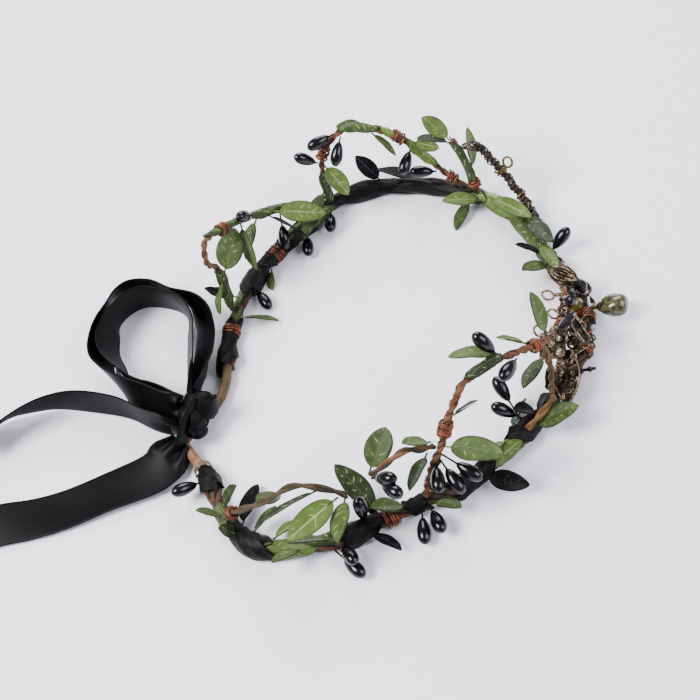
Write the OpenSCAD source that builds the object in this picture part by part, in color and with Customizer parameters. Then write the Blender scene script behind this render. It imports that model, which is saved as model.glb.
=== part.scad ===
// Elf crown: a wired branch circlet with cloth leaves, drop berries, a pierced bronze front and a satin bow.
// It lies on its hoop. Up is +Z, the front is -Y, the tie is at +Y, and the origin is the middle of the hoop.

/* [Wires] */
// Height of the hoop's middle above the surface
hoop_up = 4; // [4:0.5:5]
// Radius of the hoop's bundle between its lumps
hoop_r = 2.8; // [2.4:0.1:3]
// Radius of the twisted pair in the arches
arch_r = 1.4; // [1.1:0.1:1.6]
// Radius of the ribbed side twig
twig_r = 1.9; // [1.6:0.1:2.2]
// Depth of the groove between an arch's twisted wires, as a share of the radius
groove = 0.25; // [0.1:0.05:0.3]
// Depth of the grooves of the hoop's bundle, as a share of its radius
bundle_groove = 0.1; // [0:0.05:0.15]

/* [Leaves] */
// Thickness of a leaf
leaf_t = 1; // [0.8:0.1:1.2]
// Fullness of the leaves, the share of the widths in the tables
leaf_full = 1.3; // [1:0.1:1.5]
// Rise of a leaf's edge for each millimetre away from its fold
leaf_fold = 0.2; // [0:0.05:0.3]
// Droop of a leaf's tip, as a share of its length
leaf_droop = 0.12; // [0:0.02:0.2]

/* [Berries] */
// Length of a berry without its stalk
berry_l = 11; // [9:1:12]
// Diameter of a berry
berry_d = 5.5; // [4:0.5:6]
// Diameter of a stalk
stalk_d = 1; // [0.8:0.1:1.2]

/* [Ribbon] */
// Width of the satin ribbon
ribbon_w = 19; // [16:1:20]
// Thickness of the ribbon's wall
ribbon_t = 1; // [1:0.1:1.2]

/* [Front] */
// Thickness of the pierced bronze plates
plate_t = 1.2; // [1:0.1:1.5]
// Thickness of the bronze rings' wire
ring_wire = 1; // [0.8:0.1:1.2]
// Length of the olive glass drop
drop_l = 11; // [10:1:13]
// Diameter of the olive glass drop
drop_d = 9; // [8:0.5:9]

/* [Clearance] */
// Space between two pieces that are bound together
gap = 0.3; // [0.2:0.05:0.4]

/* [Hidden] */
// Hoop: turn from the front towards the far side, radius of the ring there
HOOP = [
    [-174, 92], [-161, 88], [-148, 92], [-135, 94], [-120, 85], [-105, 74], [-90, 68], [-75, 67], [-60, 67],
    [-45, 68], [-30, 73], [-15, 80], [0, 82], [15, 81], [30, 85], [45, 92], [60, 96], [75, 99], [90, 100],
    [105, 92], [120, 86], [135, 81], [150, 76], [165, 72], [173, 73], [180, 78]];
// Lumps of the hoop, on which it rests: turn, added radius, half length in degrees
LUMPS = [
    [-157, 1.4, 6], [-135, 1.4, 7], [-113, 1.4, 8], [-78, 1.4, 8], [-50, 1.4, 6], [0, 1.4, 8],
    [45, 1, 6], [86, 1.4, 6], [128, 1.4, 6], [160, 1.4, 7], [-172, -0.6, 9], [178, -0.6, 14]];
// Raised stems: name, then rows of turn, distance outside the hoop, height
STEMS = [
    ["back_far", [
        [141, 0, 7.6], [139, 2, 18], [137, 3, 28], [140, 3, 37], [138, 3, 44], [135, 3, 45], [125, 3, 37],
        [116, 3, 28], [108, 3, 20], [99, 1, 9]]],
    ["side_far", [
        [95, 0, 7.4], [95, 0, 17], [94, 0, 29], [92, 0, 36], [87, 0, 43], [82, 0, 44], [78, 0, 41],
        [74, 0, 38], [70, 0, 31], [66, 0, 23], [62, 0, 15], [57, 0, 9]]],
    ["front_far", [[53, 0, 7.4], [54, 0, 21], [56, 0, 33], [57, 0, 38]]],
    ["front_near", [
        [-88, 0, 7.6], [-83, -2, 20], [-77, -4, 29], [-72, -5, 40], [-66, -6, 48], [-61, -7, 51],
        [-49, -8, 47], [-39, -6, 42], [-29, -4, 35], [-26, -5, 32]]],
    ["crest", [
        [-24, -6, 29], [-18, -7, 23], [-10, -7, 18], [-3, -5, 16], [4, -3, 14], [9, -1, 9]]],
    ["back_near", [
        [-146, 0, 7.8], [-138, -6, 20], [-130, -8, 30], [-122, -8, 38], [-116, -8, 32], [-111, -8, 20]]],
    ["branch", [[-79, -7, 26], [-85, -6, 30], [-90, -6, 33], [-102, -6, 28]]],
    ["twig", [[-34, 0, 7.6], [-30, -2, 19], [-28, -5, 30]]],
    ["stub", [[-48, 2, 8], [-43, 4, 12], [-38, 6, 17]]],
    ["side_twig", [
        [27, 5.6, 4], [33, 6, 6], [38, 7, 9], [42, 7, 13], [46, 7, 19], [50, 6, 28], [52, 5, 32], [53, 3, 33]]]];

// Green leaves and black leaves: stem, place on it (degrees on the hoop, per cent on a stem), aim from
// straight out towards growing turn, climb, roll, length, width
GREEN_BACK_NEAR = [
    ["hoop", -149, 165, 50, -10, 12, 5], ["hoop", -147, -35, 60, 20, 11, 4], ["hoop", -140, -30, 70, -30, 9, 4],
    ["hoop", -137, 170, 20, -30, 13, 4], ["back_near", 28, 175, -35, 0, 14, 6],
    ["back_near", 80, -65, -15, 40, 30, 5], ["back_near", 93, -35, 10, -10, 24, 8],
    ["hoop", -131, 160, 0, -30, 13, 5], ["back_near", 97, 5, 15, 20, 19, 7]];
GREEN_SIDE_NEAR = [
    ["hoop", -119, -65, 50, 30, 13, 5], ["hoop", -117, -50, 50, 30, 18, 5], ["hoop", -124, -25, 40, 20, 13, 5],
    ["hoop", -103, -140, 30, 20, 25, 8], ["branch", 100, 165, -5, 20, 22, 8],
    ["branch", 13, -85, 50, 20, 13, 5], ["branch", 20, -45, 10, 30, 16, 6],
    ["hoop", -95, -75, 45, 10, 15, 6], ["hoop", -86, 55, 20, -30, 12, 5]];
GREEN_FRONT_NEAR = [
    ["front_near", 72, -140, 25, 20, 18, 6], ["front_near", 82, -150, 45, 30, 12, 4],
    ["twig", 81, -105, 15, 20, 17, 5], ["front_near", 23, 45, 15, 0, 23, 8],
    ["hoop", -55, -100, 20, 30, 15, 5], ["hoop", -45, 35, 35, 10, 20, 7],
    ["hoop", -49, 110, 0, -50, 15, 5], ["front_near", 94, 120, 70, 30, 19, 5],
    ["front_near", 38, 60, 45, -40, 12, 4]];
GREEN_BACK_FAR = [
    ["back_far", 18, -85, 35, 30, 20, 9], ["back_far", 77, 110, -30, 10, 18, 6],
    ["back_far", 70, 145, -40, 40, 21, 6], ["back_far", 84, -120, -15, 20, 23, 8],
    ["hoop", 136, 45, 50, 0, 14, 5], ["back_far", 14, 115, -5, 40, 14, 5],
    ["hoop", 145, -160, 60, 20, 11, 5], ["hoop", 142, -160, 0, -40, 17, 4],
    ["hoop", 122, 135, -10, 40, 10, 4]];
GREEN_SIDE_FAR = [
    ["side_far", 8, 140, -3, 10, 26, 7], ["side_far", 19, -155, -25, -10, 17, 7],
    ["side_far", 50, 65, 0, 0, 15, 5], ["side_far", 54, -130, -25, -30, 14, 4],
    ["side_far", 73, -90, -20, 20, 12, 5]];
GREEN_FRONT_FAR = [
    ["front_far", 98, 75, 40, -10, 15, 6], ["front_far", 92, 100, 20, 20, 14, 5],
    ["front_far", 29, 15, 45, 70, 18, 5], ["front_far", 38, 50, 45, 60, 14, 4],
    ["hoop", 51, 125, 25, 0, 17, 6], ["hoop", 55, 175, -5, 20, 16, 5], ["hoop", 48, -105, 15, 0, 25, 6],
    ["hoop", 37, -105, 15, -10, 24, 6], ["hoop", 25, -105, 15, -10, 19, 5], ["hoop", 18, -170, 40, 0, 15, 6]];
BLACK_NEAR = [
    ["hoop", -107, 65, 10, -40, 15, 5], ["hoop", -68, 30, 15, 30, 18, 6], ["hoop", -41, 75, 50, -40, 9, 6],
    ["hoop", -41, -125, 50, 0, 11, 6], ["hoop", -142, -150, 0, -20, 19, 6]];
BLACK_FAR = [
    ["back_far", 81, -140, -30, -40, 19, 4], ["hoop", 113, -100, 12, -10, 16, 6],
    ["back_far", 8, 20, 50, 10, 9, 4], ["hoop", 81, 55, 50, -20, 16, 6], ["hoop", 69, 85, 25, 20, 22, 6],
    ["hoop", 22, 140, 45, 30, 13, 4], ["hoop", 65, 100, 30, 30, 17, 4]];

// Berries: stem, place on it, aim, climb, length with the stalk
BERRIES_BACK_NEAR = [["hoop", -159, 0, 20, 12]];
BERRIES_SIDE_NEAR = [
    ["hoop", -107, -170, 70, 12], ["hoop", -104, -150, -5, 12], ["hoop", -114, 45, 20, 12],
    ["hoop", -116, 60, 0, 16], ["hoop", -91, -5, 0, 14], ["hoop", -88, 10, 10, 14]];
BERRIES_FRONT_NEAR = [
    ["front_near", 15, -15, 0, 12], ["front_near", 17, 10, -20, 15], ["front_near", 19, 35, -20, 17],
    ["branch", 98, 65, 30, 13], ["branch", 96, 45, 15, 16]];
BERRIES_ARCH_NEAR = [
    ["front_near", 71, -175, 50, 12], ["front_near", 77, -90, 15, 12], ["hoop", -46, 155, 35, 20],
    ["hoop", -45, -155, 40, 15]];
BERRIES_BACK_FAR = [
    ["back_far", 87, 150, -45, 17], ["back_far", 74, 120, 45, 12], ["hoop", 131, 160, -5, 12]];
BERRIES_FOOT_FAR = [
    ["side_far", 35, 105, -5, 13], ["side_far", 36, 145, -40, 13], ["side_far", 20, 90, 45, 12],
    ["hoop", 97, 165, 5, 13], ["hoop", 106, 160, 0, 14]];
BERRIES_ARCH_FAR = [["side_far", 74, 165, -20, 12], ["side_far", 88, 105, 10, 12]];
BERRIES_FRONT_FAR = [["hoop", 22, 0, 35, 12]];

// Copper windings: stem, place on it, turns of wire
WRAPS_FAR = [
    ["side_far", 26, 5], ["side_far", 67, 5], ["side_far", 94, 4], ["back_far", 63, 5],
    ["hoop", 117, 8], ["hoop", 148, 6], ["front_far", 15, 4]];
WRAPS_NEAR = [
    ["hoop", -100, 8], ["front_near", 30, 6], ["back_near", 10, 4], ["front_near", 85, 4],
    ["hoop", -15, 8]];
// Diameter of the winding wire on the stems and on the hoop
copper_d = 1.1;
copper_d_hoop = 0.7;

// Ribbon: middle of the strip, lean of its width from upright, share of the full width
LOOP_OUTER = [
    [6, 82, 12, 20, 0.35], [14, 80, 10, 35, 0.6], [24, 79, 8, 45, 0.9], [33, 77, 8, 47, 1], [41, 76, 8, 43, 1],
    [48, 76, 9, 35, 1], [55, 79, 10, 20, 1], [63, 85, 11, -10, 1], [71, 95, 11, -6, 1], [75, 106, 11, -10, 1],
    [74, 115, 12, -30, 1], [65, 120, 12, -24, 1], [54, 122, 11, 8, 1], [41, 124, 10, 13, 1],
    [29, 119, 10, 18, 1], [18, 111, 10, 22, 1], [9, 104, 11, 25, 0.9], [3, 97, 12, 28, 0.6],
    [1, 89, 13, 10, 0.35]];
LOOP_INNER = [
    [5, 84, 12, 10, 0.35], [14, 84, 11, 25, 0.6], [25, 84, 9, 27, 0.9], [37, 83, 9, 27, 1], [46, 82, 10, 25, 1],
    [54, 83, 11, 10, 1], [61, 88, 11, -4, 1], [68, 98, 11, -5, 1], [69, 107, 11, -12, 1], [64, 115, 11, -14, 1],
    [57, 118, 11, 0, 1], [48, 120, 11, 10, 1], [39, 118, 11, 14, 1], [30, 114, 11, 8, 1],
    [22, 107, 11, 0, 1], [14, 98, 11, 0, 0.8], [7, 91, 12, -8, 0.5], [3, 86, 12, -8, 0.35]];
TAIL_UPPER = [
    [-8, 90, 9, -20, 0.5], [0, 103, 10, -15, 0.9], [12, 116, 11, -5, 1], [21, 134, 11, -2, 1],
    [25, 151, 11, -20, 1], [24, 166, 11, -37, 1], [22, 177, 8, -53, 1], [17, 186, 8, -60, 1]];
TAIL_LOWER = [
    [-14, 90, 11, -40, 0.5], [-16, 95, 10, -55, 0.9], [-21, 105, 5, -80, 1], [-23, 126, 3, -88, 1],
    [-25, 145, 2, -90, 1], [-25, 161, 2, -93, 1], [-24, 175, 3, -98, 1], [-25, 188, 4, -105, 1]];

UP = [0, 0, 1];
function unit(v) = v / norm(v);
function pick(rows, i) = rows[min(max(i, 0), len(rows) - 1)];

// A smooth curve through rows of numbers, at a place from 0 to 1
function spline(a, b, c, d, f) =
    (2 * b + (c - a) * f + (2 * a - 5 * b + 4 * c - d) * f * f + (3 * b - a - 3 * c + d) * f * f * f) / 2;
function smooth(rows, i, f) = spline(pick(rows, i - 1), pick(rows, i), pick(rows, i + 1), pick(rows, i + 2), f);
function along(rows, s) =
    let (n = len(rows) - 1, x = min(max(s, 0), 1) * n, i = min(floor(x), n - 1)) smooth(rows, i, x - i);

// Ring coordinates: turn from the front, distance outside the hoop, height
function wrapped(t) = t > 180 ? t - 360 : t < -180 ? t + 360 : t;
function ring_radius(t) =
    let (
        a = min(max(wrapped(t), HOOP[0][0]), HOOP[len(HOOP) - 1][0]),
        i = [for (k = [0:len(HOOP) - 2]) if (a >= HOOP[k][0] && a <= HOOP[k + 1][0]) k][0])
    smooth(HOOP, i, (a - HOOP[i][0]) / (HOOP[i + 1][0] - HOOP[i][0]))[1];
function outward(t) = [sin(t), -cos(t), 0];
function onward(t) = [cos(t), sin(t), 0];
function place(row) = outward(row[0]) * (ring_radius(row[0]) + row[1]) + [0, 0, row[2]];

// The hoop and the stems by name: a point, the turn there, the way of growth and the radius
function bump(t, row) = let (q = min(abs(t - row[0]) / row[2], 1)) row[1] * pow(1 - q * q, 2);
function bundle_r(t) = let (b = [for (row = LUMPS) bump(t, row)]) hoop_r + max(b) + min(b);
function stem_rows(name) = [for (row = STEMS) if (row[0] == name) row[1]][0];
function stem_point(name, at) =
    name == "hoop" ? place([at, 0, hoop_up]) : place(along(stem_rows(name), at / 100));
function stem_turn(name, at) = name == "hoop" ? at : along(stem_rows(name), at / 100)[0];
function stem_way(name, at) = unit(stem_point(name, at + 0.5) - stem_point(name, at - 0.5));
function stem_r(name, at) = name == "hoop" ? bundle_r(at) : name == "side_twig" ? twig_r : arch_r;

// A solid skinned over rings of points that run round the way of travel
module skin(rings) {
    n = len(rings[0]);
    m = len(rings);
    sides = [for (i = [0:m - 2], k = [0:n - 1]) let (a = i * n + k, b = i * n + (k + 1) % n)
        each [[a, a + n, b + n], [a, b + n, b]]];
    caps = [[for (k = [0:n - 1]) k], [for (k = [n - 1:-1:0]) (m - 1) * n + k]];
    polyhedron([for (ring = rings) each ring], concat(sides, caps));
}

// A ring of a twisted bundle of wires, pressed flat where it meets the surface
function bundle_ring(c, way, ref, r, sides, lobes, depth, twist) =
    let (u = unit(ref - way * (ref * way)), v = cross(way, u))
    [for (k = [0:sides - 1])
        let (
            a = 360 * k / sides,
            q = r * (1 - depth * (1 - cos(lobes * (a - twist))) / 2),
            p = c + u * q * cos(a) + v * q * sin(a))
        [p.x, p.y, max(p.z, 0)]];

module hoop() {
    step = 5.2;
    first = HOOP[0][0];
    last = HOOP[len(HOOP) - 1][0];
    count = round((last - first) / step);
    color("#3a2a22") skin([for (i = [0:count])
        let (t = first + (last - first) * i / count)
        bundle_ring(stem_point("hoop", t), stem_way("hoop", t), outward(t), bundle_r(t), 8, 3, bundle_groove,
            50 * i)]);
}

module stem(name, rings, tone) {
    color(tone) skin([for (i = [0:rings])
        let (at = 100 * i / rings)
        bundle_ring(stem_point(name, at), stem_way(name, at), outward(stem_turn(name, at)), arch_r, 6, 2,
            groove, 50 * i)]);
}

// A leaf: station along it, share of its half width
BLADE = [[0, 0], [0.12, 0], [0.35, 0.92], [0.58, 1], [0.84, 0.55], [1, 0.06]];

function aim_vector(t, aim, climb) = cos(climb) * (cos(aim) * outward(t) + sin(aim) * onward(t)) + sin(climb) * UP;
function foot_of(name, at, dir, clear) =
    let (way = stem_way(name, at), off = unit(dir - way * (dir * way)))
    stem_point(name, at) + off * (stem_r(name, at) + gap + 1.4 * clear * abs(dir * way));

module leaf(row) {
    name = row[0];
    t = stem_turn(name, row[1]);
    dir = aim_vector(t, row[2], row[3]);
    side = -sin(row[2]) * outward(t) + cos(row[2]) * onward(t);
    across = cos(row[4]) * side + sin(row[4]) * cross(dir, side);
    face = cross(dir, across);
    lift = face.z < 0 ? -1 : 1;
    foot = foot_of(name, row[1], dir, stalk_d / 2);
    rib = 0.08;
    skin([for (station = BLADE)
        let (
            s = station[0],
            h = max(stalk_d / 2, station[1] * row[6] * leaf_full / 2),
            rise = lift * leaf_fold * (h - stalk_d / 2),
            c = foot + dir * row[5] * s - face * lift * leaf_droop * row[5] * s * s)
        [for (q = [[h, rise - leaf_t / 2], [h, rise + leaf_t / 2], [0, leaf_t / 2 + rib],
                   [-h, rise + leaf_t / 2], [-h, rise - leaf_t / 2], [0, -leaf_t / 2 - rib]])
            let (p = c + across * q[0] + face * q[1]) [p.x, p.y, max(p.z, 0.3)]]]);
}

module spray(rows, tone) color(tone) for (row = rows) leaf(row);

// Turns the Z axis to a direction and moves to a point
module set_at(p, dir) {
    u = unit(cross(abs(dir.z) > 0.9 ? [1, 0, 0] : UP, dir));
    v = cross(dir, u);
    multmatrix([[u.x, v.x, dir.x, p.x], [u.y, v.y, dir.y, p.y], [u.z, v.z, dir.z, p.z], [0, 0, 0, 1]])
        children();
}

// A drop berry on its stalk, the stalk's end at the origin
module berry(length) {
    stalk = length - berry_l;
    r = berry_d / 2;
    points = concat(
        [[0, 0], [stalk_d / 2, 0], [stalk_d / 2, stalk]],
        [for (a = [15:15:165]) [max(stalk_d / 2, r * sin(a) * (1 - 0.12 * cos(a))),
            stalk + berry_l / 2 * (1 - cos(a))]],
        [[0, stalk + berry_l]]);
    rotate_extrude($fn = 48) polygon(points);
}

module bunch(rows) {
    color("#16161a") for (row = rows) {
        t = stem_turn(row[0], row[1]);
        dir = aim_vector(t, row[2], row[3]);
        set_at(foot_of(row[0], row[1], dir, stalk_d / 2), dir) berry(row[4]);
    }
}

// A winding of copper wire, a ribbed sleeve round a stem
module winding(name, at, turns) {
    wire = name == "hoop" ? copper_d_hoop : copper_d;
    bore = stem_r(name, at) + gap + 0.15;
    length = turns * wire;
    ribs = [for (i = [0:turns - 1]) each [
        [bore + 0.6 * wire, (i + 0.05) * wire], [bore + 0.95 * wire, (i + 0.3) * wire],
        [bore + 0.95 * wire, (i + 0.7) * wire], [bore + 0.6 * wire, (i + 0.95) * wire]]];
    way = stem_way(name, at);
    set_at(stem_point(name, at) - way * length / 2, way)
        rotate_extrude($fn = 48) polygon(concat([[bore, 0]], ribs, [[bore, length]]));
}

module windings(rows) color("#9a5a3c") for (row = rows) winding(row[0], row[1], row[2]);

// A strip of ribbon through rows of x, y, z, lean and share of the width
module strip(rows, rings) {
    function middle(s) = let (p = along(rows, s)) [p[0], p[1], p[2]];
    color("#17171b") skin([for (i = [0:rings])
        let (
            s = i / rings,
            row = along(rows, s),
            way = unit(middle(s + 0.01) - middle(s - 0.01)),
            right = unit(cross(way, UP)),
            rise = cross(right, way),
            wide = cos(row[3]) * rise + sin(row[3]) * right,
            deep = cross(way, wide),
            w = ribbon_w * min(row[4], 1) / 2,
            h = ribbon_t / 2)
        [for (q = [[w, -h], [w, h], [-w, h], [-w, -h]])
            let (p = middle(s) + wide * q[0] + deep * q[1]) [p.x, p.y, max(p.z, 0.1)]]]);
}

// The knot: rows of x, y, z, diameter for each lobe
KNOT = [[0, 80, 12, 12], [-4, 84, 11, 11], [-9, 84, 9, 9]];
module ribbon_knot() {
    color("#17171b") for (k = [0:len(KNOT) - 2]) hull() for (row = [KNOT[k], KNOT[k + 1]])
        translate([row[0], row[1], row[2]]) sphere(d = row[3], $fn = 16);
}

// A place beside the hoop: X runs towards falling turn, Y outwards, Z up
module at_ring(t, out, up) {
    x = -onward(t);
    y = outward(t);
    p = place([t, out, up]);
    multmatrix([[x.x, y.x, 0, p.x], [x.y, y.y, 0, p.y], [0, 0, 1, p.z], [0, 0, 0, 1]]) children();
}

// A row of a table by its name
function named(rows, name) = [for (row = rows) if (row[0] == name) row][0];

// Front plates: name, turn, distance outside the hoop, height, tilt about X, Y and Z
PLATES = [
    ["leaf_upper", 10, -6, 16.6, [0, 0, 30]], ["leaf_lower", -20, -3, 13.5, [15, 20, 2]],
    ["scroll", -19, -9, 15, [20, 20, 0]], ["bar", -15, -1, 19, [0, 10, 30]],
    ["pod", -1, -8.5, 8.5, [0, 70, 20]]];
module plate(name) {
    row = named(PLATES, name);
    at_ring(row[1], row[2], row[3]) rotate(row[4]) children();
}

// Front pieces that stand on a stem or the hoop: name, stem, place on it, aim, climb
SEATS = [
    ["cabochon", "hoop", 4, 0, 60], ["drop", "hoop", -2, -20, 15], ["nugget", "hoop", -2, 180, 70],
    ["bead_dark", "crest", 52, 0, 65], ["bead_leaf", "crest", 20, 40, 25], ["bead_white", "hoop", -9, 180, 20],
    ["ring", "crest", 66, 180, 20], ["coil_inner", "crest", 40, 180, 30], ["coil_outer", "crest", 8, 180, 30],
    ["tip", "hoop", -22, 0, 20], ["side_ring", "side_twig", 57, 0, 60]];

// Its foot is at the origin and its height along Z
module seated(name) {
    row = named(SEATS, name);
    dir = aim_vector(stem_turn(row[1], row[2]), row[3], row[4]);
    set_at(foot_of(row[1], row[2], dir, stalk_d / 2), dir) children();
}

// A round wire ring that stands on the origin in the XZ plane
module wire_ring(d, wire)
    translate([0, 0, d / 2 + wire / 2]) rotate([90, 0, 0])
        rotate_extrude($fn = 40) translate([d / 2, 0]) circle(d = wire, $fn = 20);

// A pointed leaf outline along X: station, share of the half width
POINTED = [[0, 0.3], [0.2, 0.75], [0.45, 1], [0.7, 0.75], [1, 0.05]];
module pointed_outline(length, width)
    polygon(concat(
        [for (q = POINTED) [q[0] * length, q[1] * width / 2]],
        [for (k = [len(POINTED) - 1:-1:0]) [POINTED[k][0] * length, -POINTED[k][1] * width / 2]]));

// A cut stone that stands on its base: height, share of the size
CUT = [[0, 0.7], [0.25, 1], [0.5, 1], [0.85, 0.75], [1, 0.5]];
module stone(length, width, height, sides)
    skin([for (row = CUT) [for (k = [0:sides - 1])
        let (a = 360 * (k + 0.5) / sides)
        [length / 2 * row[1] * cos(a), width / 2 * row[1] * sin(a), height * row[0]]]]);

// The ribbed bronze leaf that lies over the crest, with its ribs and piercings
module front_leaf_upper() {
    length = 15;
    width = 9;
    rib = 0.8;
    hole = 1.5;
    color("#6d5a3c") plate("leaf_upper") {
        linear_extrude(plate_t) difference() {
            pointed_outline(length, width);
            for (x = [4.5, 8.5], y = [-1.7, 1.7]) translate([x, y]) circle(d = hole, $fn = 24);
        }
        for (a = [-12, 0, 12]) rotate([0, 0, a]) translate([1, -rib / 2, 0])
            cube([length * 0.7, rib, plate_t + rib]);
    }
}

// Piercings of the lower leaf: place along it, place across it, diameter, diameter of the raised ring or none
PIERCED = [
    [5, 1.8, 2, 3.4], [5, -1.8, 2, 0], [9.5, 2.4, 2.8, 4.2], [9.5, -2.2, 2.6, 4], [14, 1.8, 2.2, 3.6],
    [14, -1.8, 2, 0]];
module raised_ring(x, y, outer, bore, rise) translate([x, y, 0]) linear_extrude(plate_t + rise) difference() {
    circle(d = outer, $fn = 32);
    circle(d = bore, $fn = 32);
}

// The pierced lower leaf with its scrolls, draped over the hoop
module front_leaf_lower() {
    length = 23;
    width = 11;
    rib = 1;
    color("#5f5038") plate("leaf_lower") {
        linear_extrude(plate_t) difference() {
            pointed_outline(length, width);
            for (q = PIERCED) translate([q[0], q[1]]) circle(d = q[2], $fn = 24);
        }
        for (q = PIERCED) if (q[3] > 0) raised_ring(q[0], q[1], q[3], q[2], 0.8);
        translate([1, -rib / 2, 0]) cube([length * 0.85, rib, plate_t + 0.6]);
    }
}

// The scroll plate inside the hoop, a pierced square with two raised scrolls
module front_scroll() {
    side = 11;
    place = 2.7;
    hole = 3;
    color("#6d5a3c") plate("scroll") {
        linear_extrude(plate_t) difference() {
            translate([-side / 2, -side / 2]) square(side);
            for (x = [-place, place], y = [-place, place]) translate([x, y]) circle(d = hole, $fn = 24);
        }
        for (x = [-place, place]) raised_ring(x, -x, 4.6, 3.2, 0.8);
    }
}

// The dark bar with raised edges across the crest
module front_bar() {
    length = 14.5;
    width = 3.2;
    edge = 0.6;
    color("#2c2826") plate("bar") {
        translate([-length / 2, -width / 2, 0]) cube([length, width, 1]);
        for (y = [-width / 2, width / 2 - edge]) translate([-length / 2, y, 0]) cube([length, edge, 1 + edge]);
    }
}

// The cabochon stands in its bezel
bezel_bore = 7.8;
module front_cabochon() color("#2b2830") seated("cabochon") translate([0, 0, 1]) stone(7, 5.5, 3, 12);
module front_bezel() {
    color("#8b8476") seated("cabochon") linear_extrude(2) difference() {
        circle(d = bezel_bore + 1.6, $fn = 48);
        circle(d = bezel_bore, $fn = 48);
    }
}

// The olive glass drop: height, radius as a share of the largest. It stands clear of its cap
DROP = [[0, 0.25], [0.12, 0.5], [0.35, 0.8], [0.6, 1], [0.8, 0.9], [0.93, 0.6], [1, 0.25]];
cap_post = 2;
cap_cone = 1.3;
module front_drop()
    color("#6f6a45") seated("drop") translate([0, 0, cap_post + cap_cone + gap])
        rotate_extrude($fn = 48) polygon(concat(
            [[0, 0]], [for (q = DROP) [q[1] * drop_d / 2, q[0] * drop_l]], [[0, drop_l]]));
module front_drop_cap() {
    color("#8a7340") seated("drop") {
        cylinder(d = 1.6, h = cap_post + 0.4, $fn = 24);
        translate([0, 0, cap_post]) cylinder(d1 = 2, d2 = 4.6, h = cap_cone, $fn = 32);
    }
}

module front_nugget() color("#8b7d45") seated("nugget") stone(7, 5.5, 5, 8);
module front_pod() color("#a4703c") plate("pod") stone(4.5, 4, 10, 8);
module front_bead_dark() color("#24201f") seated("bead_dark") stone(5, 5, 5, 10);
module front_bead_leaf() color("#2c2826") seated("bead_leaf") stone(4, 3, 8, 8);
module front_bead_white() color("#d8d4cc") seated("bead_white") translate([0, 0, 1.5]) sphere(d = 3, $fn = 24);

// The wire ring on its twisted stalk, and the two coils along the crest
module front_ring() {
    stalk = 4;
    color("#8a7a55") seated("ring") {
        cylinder(d = 1.6, h = stalk, $fn = 24);
        translate([0, 0, stalk - 0.5]) wire_ring(4.8, ring_wire);
    }
}
module front_coil_inner() color("#8a7a55") seated("coil_inner") wire_ring(4.4, ring_wire);
module front_coil_outer() color("#8a7a55") seated("coil_outer") wire_ring(5, ring_wire);

// The short dark twig tip outside the hoop
module front_tip() color("#1b1818") seated("tip") {
    cylinder(d = 1.2, h = 6, $fn = 20);
    translate([0, 0, 3.5]) sphere(d = 2.2, $fn = 20);
}

// The ribbed side twig with its curled head and its gold ring
module side_twig() {
    color("#54443a") skin([for (i = [0:28])
        let (at = 100 * i / 28, r = twig_r - 0.35 * (i % 2))
        bundle_ring(stem_point("side_twig", at), stem_way("side_twig", at), outward(stem_turn("side_twig", at)),
            r, 8, 2, 0, 0)]);
}
module side_ring() color("#a08548") seated("side_ring") wire_ring(4.5, ring_wire);

hoop();
stem("back_far", 30, "#5d4030");  // arch_back_far
stem("side_far", 36, "#5d4030");  // arch_side_far
stem("front_far", 10, "#5d4030");  // stem_front_far
stem("front_near", 36, "#7a4a35");  // arch_front_near
stem("back_near", 20, "#5d4030");  // arch_back_near
stem("branch", 9, "#7a4a35");  // branch_front_near
stem("twig", 8, "#7a4a35");  // twig_front_near
windings(WRAPS_FAR);  // wraps_far
windings(WRAPS_NEAR);  // wraps_near
spray(GREEN_BACK_NEAR, "#5c7a45");  // leaves_back_near
spray(GREEN_SIDE_NEAR, "#5c7a45");  // leaves_side_near
spray(GREEN_FRONT_NEAR, "#5c7a45");  // leaves_front_near
spray(GREEN_BACK_FAR, "#5c7a45");  // leaves_back_far
spray(GREEN_SIDE_FAR, "#5c7a45");  // leaves_side_far
spray(GREEN_FRONT_FAR, "#5c7a45");  // leaves_front_far
spray(BLACK_NEAR, "#1c1c20");  // black_leaves_near
spray(BLACK_FAR, "#1c1c20");  // black_leaves_far
bunch(BERRIES_BACK_NEAR);  // berries_back_near
bunch(BERRIES_SIDE_NEAR);  // berries_side_near
bunch(BERRIES_FRONT_NEAR);  // berries_front_near
bunch(BERRIES_ARCH_NEAR);  // berries_arch_near
bunch(BERRIES_BACK_FAR);  // berries_back_far
bunch(BERRIES_FOOT_FAR);  // berries_foot_far
bunch(BERRIES_ARCH_FAR);  // berries_arch_far
bunch(BERRIES_FRONT_FAR);  // berries_front_far
strip(LOOP_OUTER, 48);  // ribbon_loop_outer
strip(LOOP_INNER, 44);  // ribbon_loop_inner
strip(TAIL_UPPER, 16);  // ribbon_tail_upper
strip(TAIL_LOWER, 16);  // ribbon_tail_lower
ribbon_knot();
stem("crest", 16, "#6a4a38");  // crest_front
stem("stub", 5, "#a9835c");  // stub_front_near
front_leaf_upper();
front_leaf_lower();
front_scroll();
front_bar();
front_cabochon();
front_bezel();
front_drop();
front_drop_cap();
front_nugget();
front_pod();
front_bead_dark();
front_bead_leaf();
front_bead_white();
front_ring();
front_coil_inner();
front_coil_outer();
front_tip();
side_twig();
side_ring();
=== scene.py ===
"""Dresses the elf crown, a wired branch circlet with cloth leaves, drop berries, a bronze front and a satin bow.

The tables and the curve rules are those of the part's source, in millimetres, and each mesh turns to metres
when it is finished. Up is +Z, the front is -Y, the tie is at +Y, and the origin is the middle of the hoop.
"""

import logging
import math
from collections.abc import Callable, Sequence
from dataclasses import dataclass
from enum import Enum

import bmesh
import bpy
from mathutils import Matrix, Vector


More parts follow.
